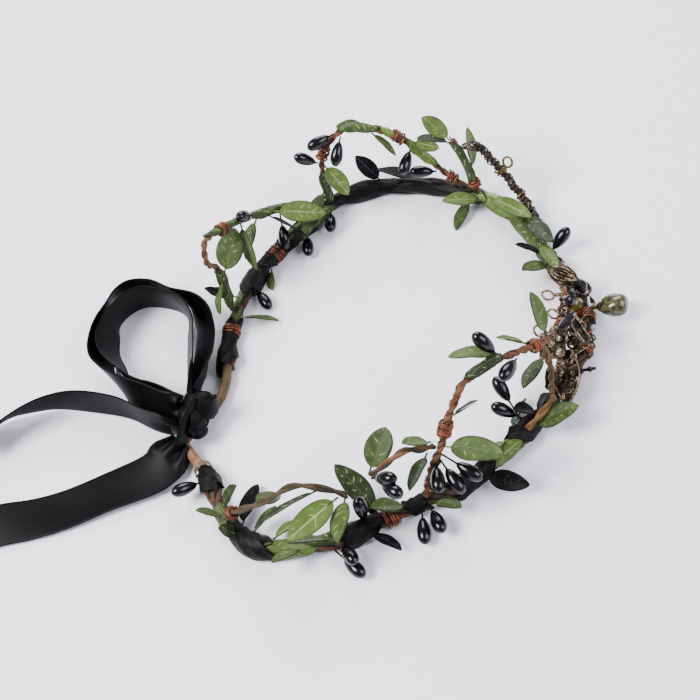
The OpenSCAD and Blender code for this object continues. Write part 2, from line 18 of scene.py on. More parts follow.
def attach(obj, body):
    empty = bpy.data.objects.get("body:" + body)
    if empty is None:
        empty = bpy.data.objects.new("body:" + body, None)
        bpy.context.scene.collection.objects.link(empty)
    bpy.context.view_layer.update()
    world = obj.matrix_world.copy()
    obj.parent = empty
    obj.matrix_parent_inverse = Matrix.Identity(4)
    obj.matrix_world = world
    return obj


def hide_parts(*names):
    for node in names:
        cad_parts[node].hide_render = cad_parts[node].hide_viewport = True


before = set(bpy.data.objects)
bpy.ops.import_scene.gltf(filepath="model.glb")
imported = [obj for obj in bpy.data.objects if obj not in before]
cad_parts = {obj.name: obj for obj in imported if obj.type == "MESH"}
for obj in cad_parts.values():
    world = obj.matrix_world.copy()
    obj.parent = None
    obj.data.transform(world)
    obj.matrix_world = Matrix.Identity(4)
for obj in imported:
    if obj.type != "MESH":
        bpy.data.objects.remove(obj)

log = logging.getLogger("elf_crown")

Table = list[list[float]]
Rows = list[list]
Tree = bpy.types.NodeTree
Socket = bpy.types.NodeSocket
UP = Vector((0.0, 0.0, 1.0))
SIDE = Vector((1.0, 0.0, 0.0))

# Height share of a way past which it counts as upright, and what each point of a mesh carries
STEEP = 0.9
LAYERS = ("across", "along", "shade")

# A millimetre in metres, and the height in millimetres that no point goes below
MM = 0.001
FLOOR = 0.05

# Sizes of the part's source, in millimetres
HOOP_UP = 4.0
HOOP_R = 2.8
ARCH_R = 1.4
TWIG_R = 1.9
LEAF_FULL = 1.3
LEAF_FOLD = 0.2
LEAF_DROOP = 0.12
BERRY_L = 11.0
BERRY_D = 5.5
STALK_D = 1.0
RIBBON_W = 19.0
PLATE_T = 1.2
GAP = 0.3
COPPER_D = 1.1
COPPER_D_HOOP = 0.7

# Hoop: turn from the front towards the far side, radius of the ring there
HOOP: Table = [
    [-174, 92], [-161, 88], [-148, 92], [-135, 94], [-120, 85], [-105, 74], [-90, 68], [-75, 67], [-60, 67], [-45, 68],
    [-30, 73], [-15, 80], [0, 82], [15, 81], [30, 85], [45, 92], [60, 96], [75, 99], [90, 100], [105, 92], [120, 86],
    [135, 81], [150, 76], [165, 72], [173, 73], [180, 78]]

# Lumps of the hoop, on which it rests: turn, added radius, half length in degrees
LUMPS: Table = [
    [-157, 1.4, 6], [-135, 1.4, 7], [-113, 1.4, 8], [-78, 1.4, 8], [-50, 1.4, 6], [0, 1.4, 8], [45, 1, 6],
    [86, 1.4, 6], [128, 1.4, 6], [160, 1.4, 7], [-172, -0.6, 9], [178, -0.6, 14]]

# Raised stems: turn, distance outside the hoop, height
STEMS: dict[str, Table] = {
    "back_far": [
        [141, 0, 7.6], [139, 2, 18], [137, 3, 28], [140, 3, 37], [138, 3, 44], [135, 3, 45], [125, 3, 37],
        [116, 3, 28], [108, 3, 20], [99, 1, 9]],
    "side_far": [
        [95, 0, 7.4], [95, 0, 17], [94, 0, 29], [92, 0, 36], [87, 0, 43], [82, 0, 44], [78, 0, 41], [74, 0, 38],
        [70, 0, 31], [66, 0, 23], [62, 0, 15], [57, 0, 9]],
    "front_far": [[53, 0, 7.4], [54, 0, 21], [56, 0, 33], [57, 0, 38]],
    "front_near": [
        [-88, 0, 7.6], [-83, -2, 20], [-77, -4, 29], [-72, -5, 40], [-66, -6, 48], [-61, -7, 51], [-49, -8, 47],
        [-39, -6, 42], [-29, -4, 35], [-26, -5, 32]],
    "crest": [[-24, -6, 29], [-18, -7, 23], [-10, -7, 18], [-3, -5, 16], [4, -3, 14], [9, -1, 9]],
    "back_near": [[-146, 0, 7.8], [-138, -6, 20], [-130, -8, 30], [-122, -8, 38], [-116, -8, 32], [-111, -8, 20]],
    "branch": [[-79, -7, 26], [-85, -6, 30], [-90, -6, 33], [-102, -6, 28]],
    "twig": [[-34, 0, 7.6], [-30, -2, 19], [-28, -5, 30]],
    "stub": [[-48, 2, 8], [-43, 4, 12], [-38, 6, 17]],
    "side_twig": [
        [27, 5.6, 4], [33, 6, 6], [38, 7, 9], [42, 7, 13], [46, 7, 19], [50, 6, 28], [52, 5, 32], [53, 3, 33]],
}

# Leaves: stem, place on it, aim from straight out towards growing turn, climb, roll, length, width
GREEN_LEAVES: dict[str, Rows] = {
    "leaves_back_near": [
        ["hoop", -149, 165, 50, -10, 12, 5], ["hoop", -147, -35, 60, 20, 11, 4], ["hoop", -140, -30, 70, -30, 9, 4],
        ["hoop", -137, 170, 20, -30, 13, 4], ["back_near", 28, 175, -35, 0, 14, 6],
        ["back_near", 80, -65, -15, 40, 30, 5], ["back_near", 93, -35, 10, -10, 24, 8],
        ["hoop", -131, 160, 0, -30, 13, 5], ["back_near", 97, 5, 15, 20, 19, 7]],
    "leaves_side_near": [
        ["hoop", -119, -65, 50, 30, 13, 5], ["hoop", -117, -50, 50, 30, 18, 5], ["hoop", -124, -25, 40, 20, 13, 5],
        ["hoop", -103, -140, 30, 20, 25, 8], ["branch", 100, 165, -5, 20, 22, 8], ["branch", 13, -85, 50, 20, 13, 5],
        ["branch", 20, -45, 10, 30, 16, 6], ["hoop", -95, -75, 45, 10, 15, 6], ["hoop", -86, 55, 20, -30, 12, 5]],
    "leaves_front_near": [
        ["front_near", 72, -140, 25, 20, 18, 6], ["front_near", 82, -150, 45, 30, 12, 4],
        ["twig", 81, -105, 15, 20, 17, 5], ["front_near", 23, 45, 15, 0, 23, 8], ["hoop", -55, -100, 20, 30, 15, 5],
        ["hoop", -45, 35, 35, 10, 20, 7], ["hoop", -49, 110, 0, -50, 15, 5], ["front_near", 94, 120, 70, 30, 19, 5],
        ["front_near", 38, 60, 45, -40, 12, 4]],
    "leaves_back_far": [
        ["back_far", 18, -85, 35, 30, 20, 9], ["back_far", 77, 110, -30, 10, 18, 6],
        ["back_far", 70, 145, -40, 40, 21, 6], ["back_far", 84, -120, -15, 20, 23, 8], ["hoop", 136, 45, 50, 0, 14, 5],
        ["back_far", 14, 115, -5, 40, 14, 5], ["hoop", 145, -160, 60, 20, 11, 5], ["hoop", 142, -160, 0, -40, 17, 4],
        ["hoop", 122, 135, -10, 40, 10, 4]],
    "leaves_side_far": [
        ["side_far", 8, 140, -3, 10, 26, 7], ["side_far", 19, -155, -25, -10, 17, 7],
        ["side_far", 50, 65, 0, 0, 15, 5], ["side_far", 54, -130, -25, -30, 14, 4],
        ["side_far", 73, -90, -20, 20, 12, 5]],
    "leaves_front_far": [
        ["front_far", 98, 75, 40, -10, 15, 6], ["front_far", 92, 100, 20, 20, 14, 5],
        ["front_far", 29, 15, 45, 70, 18, 5], ["front_far", 38, 50, 45, 60, 14, 4], ["hoop", 51, 125, 25, 0, 17, 6],
        ["hoop", 55, 175, -5, 20, 16, 5], ["hoop", 48, -105, 15, 0, 25, 6], ["hoop", 37, -105, 15, -10, 24, 6],
        ["hoop", 25, -105, 15, -10, 19, 5], ["hoop", 18, -170, 40, 0, 15, 6]],
}
BLACK_LEAVES: dict[str, Rows] = {
    "black_leaves_near": [
        ["hoop", -107, 65, 10, -40, 15, 5], ["hoop", -68, 30, 15, 30, 18, 6], ["hoop", -41, 75, 50, -40, 9, 6],
        ["hoop", -41, -125, 50, 0, 11, 6], ["hoop", -142, -150, 0, -20, 19, 6]],
    "black_leaves_far": [
        ["back_far", 81, -140, -30, -40, 19, 4], ["hoop", 113, -100, 12, -10, 16, 6],
        ["back_far", 8, 20, 50, 10, 9, 4], ["hoop", 81, 55, 50, -20, 16, 6], ["hoop", 69, 85, 25, 20, 22, 6],
        ["hoop", 22, 140, 45, 30, 13, 4], ["hoop", 65, 100, 30, 30, 17, 4]],
}

# Wrapped leaves: route, first place, last place, angle round it from straight out, half the arc
WRAPPED_GREEN: Rows = [
    ["hoop", 13, 27, -120, 75], ["hoop", 23, 43, -95, 95], ["hoop", 37, 55, -80, 95], ["hoop", 49, 62, -130, 80],
    ["hoop", 95, 114, -140, 70], ["hoop", 131, 141, -50, 65], ["hoop", -150, -142, -90, 90],
    ["hoop", -133, -119, -60, 85], ["hoop", -124, -112, -120, 70], ["hoop", -66, -52, -60, 60],
    ["hoop", -38, -27, -140, 70], ["side_far", 0, 17, 180, 110], ["side_far", 37, 57, 95, 125],
    ["side_far", 57, 71, 75, 115], ["side_far", 70, 86, 110, 100], ["front_far", 4, 98, 170, 105],
    ["front_near", 56, 72, -80, 85], ["front_near", 4, 16, 60, 80], ["back_far", 2, 26, 120, 100],
    ["back_far", 54, 74, 90, 90], ["back_far", 72, 92, 115, 90], ["twig", 4, 50, 120, 70]]
WRAPPED_BLACK: Rows = [
    ["hoop", 56, 79, -90, 120], ["hoop", 75, 98, -95, 120], ["hoop", 98, 112, -30, 70], ["hoop", 110, 124, -95, 120],
    ["hoop", 121, 133, -100, 100], ["hoop", 144, 163, -90, 125], ["hoop", -162, -155, -90, 110],
    ["hoop", -144, -130, -90, 120], ["hoop", -115, -103, -90, 110], ["hoop", -95, -88, -75, 115],
    ["hoop", -79, -64, -90, 115], ["hoop", -54, -42, -100, 100], ["hoop", -30, -22, -90, 90]]

# Berries: stem, place on it, aim, climb, length with the stalk
BERRIES: dict[str, Rows] = {
    "berries_back_near": [["hoop", -159, 0, 20, 12]],
    "berries_side_near": [
        ["hoop", -107, -170, 70, 12], ["hoop", -104, -150, -5, 12], ["hoop", -114, 45, 20, 12],
        ["hoop", -116, 60, 0, 16], ["hoop", -91, -5, 0, 14], ["hoop", -88, 10, 10, 14]],
    "berries_front_near": [
        ["front_near", 15, -15, 0, 12], ["front_near", 17, 10, -20, 15], ["front_near", 19, 35, -20, 17],
        ["branch", 98, 65, 30, 13], ["branch", 96, 45, 15, 16]],
    "berries_arch_near": [
        ["front_near", 71, -175, 50, 12], ["front_near", 77, -90, 15, 12], ["hoop", -46, 155, 35, 20],
        ["hoop", -45, -155, 40, 15]],
    "berries_back_far": [["back_far", 87, 150, -45, 17], ["back_far", 74, 120, 45, 12], ["hoop", 131, 160, -5, 12]],
    "berries_foot_far": [
        ["side_far", 35, 105, -5, 13], ["side_far", 36, 145, -40, 13], ["side_far", 20, 90, 45, 12],
        ["hoop", 97, 165, 5, 13], ["hoop", 106, 160, 0, 14]],
    "berries_arch_far": [["side_far", 74, 165, -20, 12], ["side_far", 88, 105, 10, 12]],
    "berries_front_far": [["hoop", 22, 0, 35, 12]],
}

# Copper windings: stem, place on it, turns of wire
WRAPS: dict[str, Rows] = {
    "wraps_far": [
        ["side_far", 26, 5], ["side_far", 67, 5], ["side_far", 94, 4], ["back_far", 63, 5], ["hoop", 117, 8],
        ["hoop", 148, 6], ["front_far", 15, 4]],
    "wraps_near": [
        ["hoop", -100, 8], ["front_near", 30, 6], ["back_near", 10, 4], ["front_near", 85, 4], ["hoop", -15, 8]],
}

# Ribbon: middle of the strip, lean of its width from upright, share of the full width
LOOP_OUTER: Table = [
    [6, 82, 12, 20, 0.35], [14, 80, 10, 35, 0.6], [24, 79, 8, 45, 0.9], [33, 77, 8, 47, 1], [41, 76, 8, 43, 1],
    [48, 76, 9, 35, 1], [55, 79, 10, 20, 1], [63, 85, 11, -10, 1], [71, 95, 11, -6, 1], [75, 106, 11, -10, 1],
    [74, 115, 12, -30, 1], [65, 120, 12, -24, 1], [54, 122, 11, 8, 1], [41, 124, 10, 13, 1], [29, 119, 10.5, 4, 1],
    [17, 111, 11.5, -18, 1], [9, 104, 12.5, -32, 1], [2, 97, 13.5, -36, 0.95], [-2, 89, 13.5, -32, 0.65]]
LOOP_INNER: Table = [
    [5, 84, 12, 10, 0.35], [14, 84, 11, 25, 0.6], [25, 84, 9, 27, 0.9], [37, 83, 9, 27, 1], [46, 82, 10, 25, 1],
    [54, 83, 11, 10, 1], [61, 88, 11, -4, 1], [68, 98, 11, -5, 1], [69, 107, 11, -12, 1], [64, 115, 11, -14, 1],
    [57, 118, 11, 0, 1], [48, 120, 11, 10, 1], [39, 118, 11, 14, 1], [30, 114, 10.5, 6, 1], [22, 107, 10, 8, 0.85],
    [14, 98, 10, 5, 0.7], [7, 91, 11, 0, 0.5], [3, 86, 12, -4, 0.35]]
TAIL_UPPER: Table = [
    [-7, 90, 10, -4, 0.6], [1, 103, 10.5, 0, 0.9], [12, 116, 11, 0, 1], [21, 134, 11, -2, 1], [25, 151, 11, -20, 1],
    [24, 166, 11, -37, 1], [22, 177, 8, -53, 1], [17, 186, 8, -60, 1]]
TAIL_LOWER: Table = [
    [-12, 91, 8, -125, 0.45], [-16.5, 97, 6.5, -112, 0.85], [-21, 106, 4.5, -97, 1], [-23, 126, 3, -88, 1],
    [-25, 145, 2, -90, 1], [-25, 161, 2, -93, 1], [-24, 175, 3, -98, 1], [-25, 188, 4, -105, 1]]

# Front plates: turn, distance outside the hoop, height, tilt about X, Y and Z
PLATES = {
    "leaf_upper": (10, -6, 16.6, [0, 0, 30]),
    "leaf_lower": (-20, -3, 13.5, [15, 20, 2]),
    "scroll": (-19, -9, 15, [20, 20, 0]),
    "bar": (-15, -1, 19, [0, 10, 30]),
}


class Slot(Enum):
    """The record's material slots."""

    BARK = "bark"
    STEM = "stem"
    COPPER = "copper_wire"
    GREEN = "green_leaf"
    BLACK = "black_leaf"
    BERRY = "berry"
    SATIN = "satin"
    BRONZE = "bronze"
    STUB = "tan_stem"
    OLIVE = "olive_glass"
    TWIG = "twig"


# ---------------------------------------------------------------- curves


def spline(a: float, b: float, c: float, d: float, f: float) -> float:
    """Returns the value between b and c on a smooth curve through four values."""
    return (2 * b + (c - a) * f + (2 * a - 5 * b + 4 * c - d) * f * f + (3 * b - a - 3 * c + d) * f**3) / 2


def smooth(rows: Table, i: int, f: float) -> list[float]:
    """Returns the blend of the rows round span i, at a place f from 0 to 1 in it."""
    near = [rows[min(max(i + k, 0), len(rows) - 1)] for k in (-1, 0, 1, 2)]
    return [spline(*four, f) for four in zip(*near)]


def along(rows: Table, s: float) -> list[float]:
    """Finds a place on the smooth curve through all rows.

    Args:
        rows: Rows of numbers.
        s: Place on the curve, from 0 to 1.

    Returns:
        The row there.
    """
    x = min(max(s, 0.0), 1.0) * (len(rows) - 1)
    i = min(int(x), len(rows) - 2)
    return smooth(rows, i, x - i)


def ring_radius(turn: float) -> float:
    """Finds the radius of the hoop's ring.

    Args:
        turn: Degrees from the front.

    Returns:
        The radius there.
    """
    a = turn - 360 if turn > 180 else turn + 360 if turn < -180 else turn
    a = min(max(a, HOOP[0][0]), HOOP[-1][0])
    i = next(k for k in range(len(HOOP) - 1) if HOOP[k][0] <= a <= HOOP[k + 1][0])
    return smooth(HOOP, i, (a - HOOP[i][0]) / (HOOP[i + 1][0] - HOOP[i][0]))[1]


def outward(turn: float) -> Vector:
    """Returns the way straight out of the ring at a turn."""
    a = math.radians(turn)
    return Vector((math.sin(a), -math.cos(a), 0.0))


def onward(turn: float) -> Vector:
    """Returns the way round the ring, towards growing turn."""
    return outward(turn + 90)


def place(turn: float, out: float, up: float) -> Vector:
    """Returns the point at a turn, a distance outside the hoop's ring and a height."""
    return outward(turn) * (ring_radius(turn) + out) + UP * up


def bump(turn: float, row: list[float]) -> float:
    """Returns how much a lump of the hoop adds to its radius at a turn."""
    q = min(abs(turn - row[0]) / row[2], 1.0)
    return row[1] * (1 - q * q) ** 2


def aim_vector(turn: float, aim: float, climb: float) -> Vector:
    """Returns a way from two angles: from straight out towards growing turn, and up."""
    a, c = math.radians(aim), math.radians(climb)
    return math.cos(c) * (math.cos(a) * outward(turn) + math.sin(a) * onward(turn)) + math.sin(c) * UP


def steady(*numbers: float) -> float:
    """Returns a fixed number from 0 to 1 that looks random, the same for the same numbers."""
    x = math.sin(sum(n * k for n, k in zip(numbers, (12.9898, 78.233, 37.719, 9.131)))) * 43758.5453
    return x - math.floor(x)


def axes(x: Vector, y: Vector, z: Vector, point: Vector) -> Matrix:
    """Returns the matrix that takes the three axes to these ways and the origin to a point."""
    return Matrix(((*x, 0), (*y, 0), (*z, 0), (*point, 1))).transposed()


def turned_to(point: Vector, way: Vector) -> Matrix:
    """Returns the matrix that turns the Z axis to a way and moves the origin to a point."""
    u = (SIDE if abs(way.z) > STEEP else UP).cross(way).normalized()
    return axes(u, way.cross(u), way, point)


def curl(
    spot: Matrix, reach: float, steps: int, height: Callable[[float], float], span: float = math.tau,
    start: float = 0.0, shrink: float = 0.0,
) -> list[Vector]:
    """Follows a ring or a spiral round the Z axis of a spot.

    Args:
        spot: Matrix of the spot.
        reach: Radius at the start.
        steps: Steps from end to end.
        height: Gives the height at a share of the way, from 0 to 1.
        span: Angle from end to end, in radians.
        start: Angle of the start, in radians.
        shrink: Share of the radius that is lost on the way.

    Returns:
        The points of its middle.
    """
    line = []
    for i in range(steps + 1):
        f = i / steps
        a, r = start + span * f, reach * (1 - shrink * f)
        line.append(spot @ Vector((r * math.cos(a), r * math.sin(a), height(f))))
    return line


@dataclass(frozen=True)
class Route:
    """The middle line of the hoop, by degrees, or of a raised stem, by per cent of its length."""

    name: str

    def row(self, at: float) -> list[float]:
        """Returns turn, distance outside the hoop and height at a place on the route."""
        return [at, 0, HOOP_UP] if self.name == "hoop" else along(STEMS[self.name], at / 100)

    def turn(self, at: float) -> float:
        """Returns the turn round the ring at a place on the route."""
        return self.row(at)[0]

    def point(self, at: float) -> Vector:
        """Returns the point at a place on the route."""
        return place(*self.row(at))

    def way(self, at: float) -> Vector:
        """Returns the way of growth at a place on the route."""
        return (self.point(at + 0.5) - self.point(at - 0.5)).normalized()

    def radius(self, at: float) -> float:
        """Returns the radius of the bundle at a place on the route."""
        if self.name == "hoop":
            lumps = [bump(at, row) for row in LUMPS]
            return HOOP_R + max(lumps) + min(lumps)
        return TWIG_R if self.name == "side_twig" else ARCH_R

    def beside(self, at: float, angle: float, reach: float) -> Vector:
        """Finds a point beside the route.

        Args:
            at: Place on the route.
            angle: Angle round it from straight out, in radians.
            reach: Distance from its middle.

        Returns:
            The point.
        """
        way, out = self.way(at), outward(self.turn(at))
        u = (out - way * way.dot(out)).normalized()
        return self.point(at) + (u * math.cos(angle) + way.cross(u) * math.sin(angle)) * reach

    def foot(self, at: float, way: Vector, clear: float) -> Vector:
        """Finds where a piece that grows from the route has its foot.

        Args:
            at: Place on the route.
            way: The way the piece grows.
            clear: Half the thickness of the piece's stalk.

        Returns:
            The point, just clear of the route's bundle.
        """
        grow = self.way(at)
        off = (way - grow * grow.dot(way)).normalized()
        return self.point(at) + off * (self.radius(at) + GAP + 1.4 * clear * abs(way.dot(grow)))

    def stations(self, first: float, last: float, step: float) -> list[float]:
        """Lists places on the route that lie about a step apart.

        Args:
            first: First place.
            last: Last place.
            step: Distance between two places, in millimetres.

        Returns:
            The places, with both ends.
        """
        spans = 400
        rough = [first + (last - first) * i / spans for i in range(spans + 1)]
        points = [self.point(a) for a in rough]
        run = [0.0]
        for a, b in zip(points, points[1:]):
            run.append(run[-1] + (b - a).length)
        count = max(2, round(run[-1] / step))
        found, k = [], 0
        for i in range(count + 1):
            want = run[-1] * i / count
            while k < spans - 1 and run[k + 1] < want:
                k += 1
            f = (want - run[k]) / max(run[k + 1] - run[k], 1e-6)
            found.append(rough[k] + (rough[k + 1] - rough[k]) * min(f, 1.0))
        return found


# ---------------------------------------------------------------- mesh work


class MeshWork:
    """A mesh in the making, in millimetres.

    Each point carries its place across and along its piece, which become the UV map, and a shade from 0 to 1.
    """

    def __init__(self) -> None:
        """Starts an empty mesh."""
        self.whole = bmesh.new()
        self.start()

    def start(self) -> None:
        """Starts a form in a small mesh of its own, where an operator costs least."""
        self.bm = bmesh.new()
        layers = self.bm.verts.layers.float
        for name in LAYERS:
            layers.new(name)
        self.across, self.along, self.shade = (layers[name] for name in LAYERS)

    def mark(self, verts: Sequence[bmesh.types.BMVert]) -> None:
        """Marks unplaced points with their places round the Z axis and along it."""
        for v in verts:
            v[self.across] = (math.atan2(v.co.y, v.co.x) / math.tau) % 1.0
            v[self.along] = v.co.z

    def stamp(self, finish: int, shade: float) -> None:
        """Gives the form its shade and finish and joins it to the others.

        Args:
            finish: Number of the finish in the object's list.
            shade: Shade from 0 to 1.
        """
        for v in self.bm.verts:
            v[self.shade] = shade
        for face in self.bm.faces:
            face.material_index = finish
            face.smooth = True
        form = bpy.data.meshes.new("form")
        self.bm.to_mesh(form)
        self.bm.free()
        self.whole.from_mesh(form)
        bpy.data.meshes.remove(form)
        self.start()

    def tube(
        self, line: Sequence[Vector], radii: float | Sequence[float], sides: int = 8, finish: int = 0,
        shade: float = 0.5, squash: float = 1.0, lean: Vector | None = None,
    ) -> None:
        """Sweeps a wire along a line.

        Args:
            line: Points of its middle.
            radii: Its radius, or the radius at each point.
            sides: Sides of its section.
            finish: Number of its finish.
            shade: Shade from 0 to 1.
            squash: Thickness as a share of the width, for a flat band.
            lean: The way that the width of a flat band starts in.
        """
        last = len(line) - 1
        sizes = [radii] * len(line) if isinstance(radii, float) else radii
        ways = [(line[min(i + 1, last)] - line[max(i - 1, 0)]).normalized() for i in range(len(line))]
        u = lean or (UP if abs(ways[0].z) < STEEP else SIDE)
        ring = bmesh.ops.create_circle(self.bm, cap_ends=True, segments=sides, radius=1.0)["verts"]
        self.mark(ring)
        edges = list({e for v in ring for e in v.link_edges})
        old, run = Matrix.Identity(4), 0.0
        for i, (centre, way, r) in enumerate(zip(line, ways, sizes)):
            u = (u - way * way.dot(u)).normalized()
            new = axes(u * r, way.cross(u) * (r * squash), way * r, centre)
            if i:
                run += (centre - line[i - 1]).length
                made = bmesh.ops.extrude_edge_only(self.bm, edges=edges)["geom"]
                ring = [g for g in made if isinstance(g, bmesh.types.BMVert)]
                edges = [g for g in made if isinstance(g, bmesh.types.BMEdge) and g.is_boundary]
            bmesh.ops.transform(self.bm, matrix=new @ old.inverted(), verts=ring)
            for v in ring:
                v[self.along] = run
            old = new
        bmesh.ops.contextual_create(self.bm, geom=edges)
        self.stamp(finish, shade)

    def sheet(
        self, wide: int, long: int, thickness: float, shape: Callable[[float, float], Vector], shade: float = 0.5,
    ) -> None:
        """Makes a thin sheet of the first finish from a grid.

        Args:
            wide: Squares across.
            long: Squares along.
            thickness: Thickness of the cloth.
            shape: Gives a point from a place across, -1 to 1, and along, 0 to 1.
            shade: Shade from 0 to 1.
        """
        grid = bmesh.ops.create_grid(self.bm, x_segments=wide, y_segments=long, size=1.0)["verts"]
        for v in grid:
            x, y = v.co.x, (v.co.y + 1) / 2
            v[self.across], v[self.along] = x, y
            v.co = shape(x, y)
        faces = list({f for v in grid for f in v.link_faces})
        bmesh.ops.recalc_face_normals(self.bm, faces=faces)
        bmesh.ops.solidify(self.bm, geom=faces, thickness=thickness)
        self.stamp(0, shade)

    def turned(self, profile: Sequence[tuple[float, float]], steps: int, spot: Matrix) -> None:
        """Spins a profile round Z into a closed form of the first finish.

        Args:
            profile: Radius and height of each point, from the lower end to the upper one.
            steps: Steps of the spin.
            spot: Matrix that puts the form in its place.
        """
        verts = [self.bm.verts.new((r, 0.0, z)) for r, z in profile]
        edges = [self.bm.edges.new(pair) for pair in zip(verts, verts[1:])]
        bmesh.ops.spin(
            self.bm, geom=verts + edges, cent=(0, 0, 0), axis=(0, 0, 1), dvec=(0, 0, 0), angle=math.tau, steps=steps,
            use_merge=True, use_duplicate=False)
        bmesh.ops.remove_doubles(self.bm, verts=self.bm.verts[:], dist=1e-3)
        new = self.bm.verts[:]
        self.mark(new)
        bmesh.ops.transform(self.bm, matrix=spot, verts=new)
        self.stamp(0, 0.5)

    def ball(
        self, size: float, spot: Matrix, shape: Callable[[Vector], Vector], finish: int = 0, steps: int = 56,
    ) -> None:
        """Makes a soft lobe from a ball.

        Args:
            size: Radius of the ball.
            spot: Matrix that puts it in its place.
            shape: Moves a point of the unit ball.
            finish: Number of its finish.
            steps: Segments round it.
        """
        new = bmesh.ops.create_uvsphere(self.bm, u_segments=steps, v_segments=steps // 2 + 4, radius=1.0)["verts"]
        self.mark(new)
        for v in new:
            v.co = shape(v.co.copy()) * size
        bmesh.ops.transform(self.bm, matrix=spot, verts=new)
        self.stamp(finish, 0.5)

    def finish(self, name: str, finishes: Sequence["Finish"], slot: Slot, *nodes: str) -> bpy.types.Object:
        """Turns the mesh into a piece of the model.

        Args:
            name: Name of the piece.
            finishes: Its finishes, in the order of their numbers.
            slot: The record's material slot; not used.
            nodes: CAD nodes that it stands for.

        Returns:
            The piece, at the origin, in metres.
        """
        self.bm.free()
        bm = self.whole
        across, far = (bm.verts.layers.float[name] for name in LAYERS[:2])
        for v in bm.verts:
            v.co.z = max(v.co.z, FLOOR)
        bmesh.ops.recalc_face_normals(bm, faces=bm.faces[:])
        uv = bm.loops.layers.uv.new("UVMap")
        for face in bm.faces:
            span = [loop.vert[across] for loop in face.loops]
            split = max(span) - min(span) > 0.5
            for loop, x in zip(face.loops, span):
                loop[uv].uv = (x + 1 if split and x < 0.5 else x, loop.vert[far])
        bmesh.ops.scale(bm, vec=(MM, MM, MM), verts=bm.verts[:])
        mesh = bpy.data.meshes.new(name)
        bm.to_mesh(mesh)
        bm.free()
        piece = bpy.data.objects.new(name, mesh)
        bpy.context.scene.collection.objects.link(piece)
        for finish in finishes:
            mesh.materials.append(finish.material())
        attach(piece, "root")
        if nodes:
            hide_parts(*nodes)
        log.info("%s: %d faces", name, len(mesh.polygons))
        return piece


# ---------------------------------------------------------------- finishes


def linear(code: str) -> tuple[float, float, float, float]:
    """Turns an sRGB colour to a linear one.

    Args:
        code: The colour's hex code.

    Returns:
        Red, green, blue and full cover.
    """
    parts = [int(code[i:i + 2], 16) / 255 for i in (1, 3, 5)]
    red, green, blue = (p / 12.92 if p <= 0.04045 else ((p + 0.055) / 1.055) ** 2.4 for p in parts)
    return red, green, blue, 1.0


def add(
    tree: Tree, kind: str, sockets: dict | tuple = (), stops: dict[float, str] | None = None, **settings: object,
) -> bpy.types.bpy_prop_collection:
    """Adds a node to a material.

    Args:
        tree: The material's node tree.
        kind: Kind of node, without ShaderNode in front.
        sockets: Values or links for its inputs, in their order, or by name or number.
        stops: Hex colour at each place, for a colour ramp.
        settings: Its own settings.

    Returns:
        Its outputs.
    """
    made = tree.nodes.new("ShaderNode" + kind)
    for key, value in settings.items():
        setattr(made, key, value)
    if stops:
        points = made.color_ramp.elements
        while len(points) < len(stops):
            points.new(0.5)
        for point, (at, code) in zip(points, sorted(stops.items())):
            point.position, point.color = at, linear(code)
    for key, value in sockets.items() if isinstance(sockets, dict) else enumerate(sockets):
        if isinstance(value, Socket):
            tree.links.new(value, made.inputs[key])
        else:
            made.inputs[key].default_value = value
    return made.outputs


def weighed(tree: Tree, base: float, *parts: tuple[Socket, float]) -> Socket:
    """Adds up sockets by their weights.

    Args:
        tree: The material's node tree.
        base: Number that the sum starts from.
        parts: Each socket with its weight.

    Returns:
        The sum.
    """
    total = base
    for socket, weight in parts:
        total = add(tree, "Math", (socket, weight, total), operation="MULTIPLY_ADD")[0]
    return total


@dataclass(frozen=True)
class Finish:
    """A finish that makes its material once."""

    name: str

    def material(self) -> bpy.types.Material:
        """Makes the finish's material at its first use.

        Returns:
            The material.
        """
        made = bpy.data.materials.get(self.name)
        if not made:
            made = bpy.data.materials.new(self.name)
            made.use_nodes = True
            made.node_tree.nodes.clear()
            shader = add(made.node_tree, "BsdfPrincipled", self.paint(made.node_tree))
            add(made.node_tree, "OutputMaterial", (shader[0],))
        return made

    def paint(self, tree: Tree) -> dict[str, object]:
        """Adds the nodes that give the surface its look.

        Args:
            tree: The material's node tree.

        Returns:
            What the shader's inputs get, by name.
        """
        raise NotImplementedError


@dataclass(frozen=True)
class PaperTape(Finish):
    """Waxed crepe paper tape wound over wire."""

    deep: str
    brown: str
    pale: str
    crease_mm: float = 0.55

    def paint(self, tree: Tree) -> dict[str, object]:
        """Long fibres and small creases give a matt bark with a waxy light on its ridges.

        Args:
            tree: The material's node tree.

        Returns:
            What the shader's inputs get, by name.
        """
        uv = add(tree, "UVMap")[0]
        shade = add(tree, "Attribute", attribute_name="shade")["Fac"]
        long = add(tree, "Mapping", {0: uv, 3: (7.0, 0.35, 1.0)})[0]
        fibres = add(tree, "TexNoise", {0: long, "Scale": 1.0, "Detail": 3.0})[0]
        across = add(tree, "Mapping", {0: uv, 2: (0.0, 0.0, 0.5), 3: (1.2, 1.0, 1.0)})[0]
        creases = add(
            tree, "TexWave", {0: across, "Scale": 0.314 / self.crease_mm, "Distortion": 3.0, "Detail": 2.0},
            bands_direction="Y")["Fac"]
        blots = add(tree, "TexNoise", {0: add(tree, "TexCoord")["Object"], "Scale": 1000 / 5.0, "Detail": 3.0})[0]
        tone = weighed(tree, -0.22, (fibres, 0.45), (blots, 0.5), (shade, 0.5))
        height = weighed(tree, 0.0, (fibres, 0.7), (creases, 0.5))
        return {
            "Base Color": add(tree, "ValToRGB", (tone,), {0.28: self.deep, 0.5: self.brown, 0.75: self.pale})[0],
            "Roughness": weighed(tree, 0.42, (fibres, 0.3)), "Specular IOR Level": 0.25,
            "Normal": add(tree, "Bump", {"Strength": 0.75, "Distance": 0.35 * MM, "Height": height})[0]}


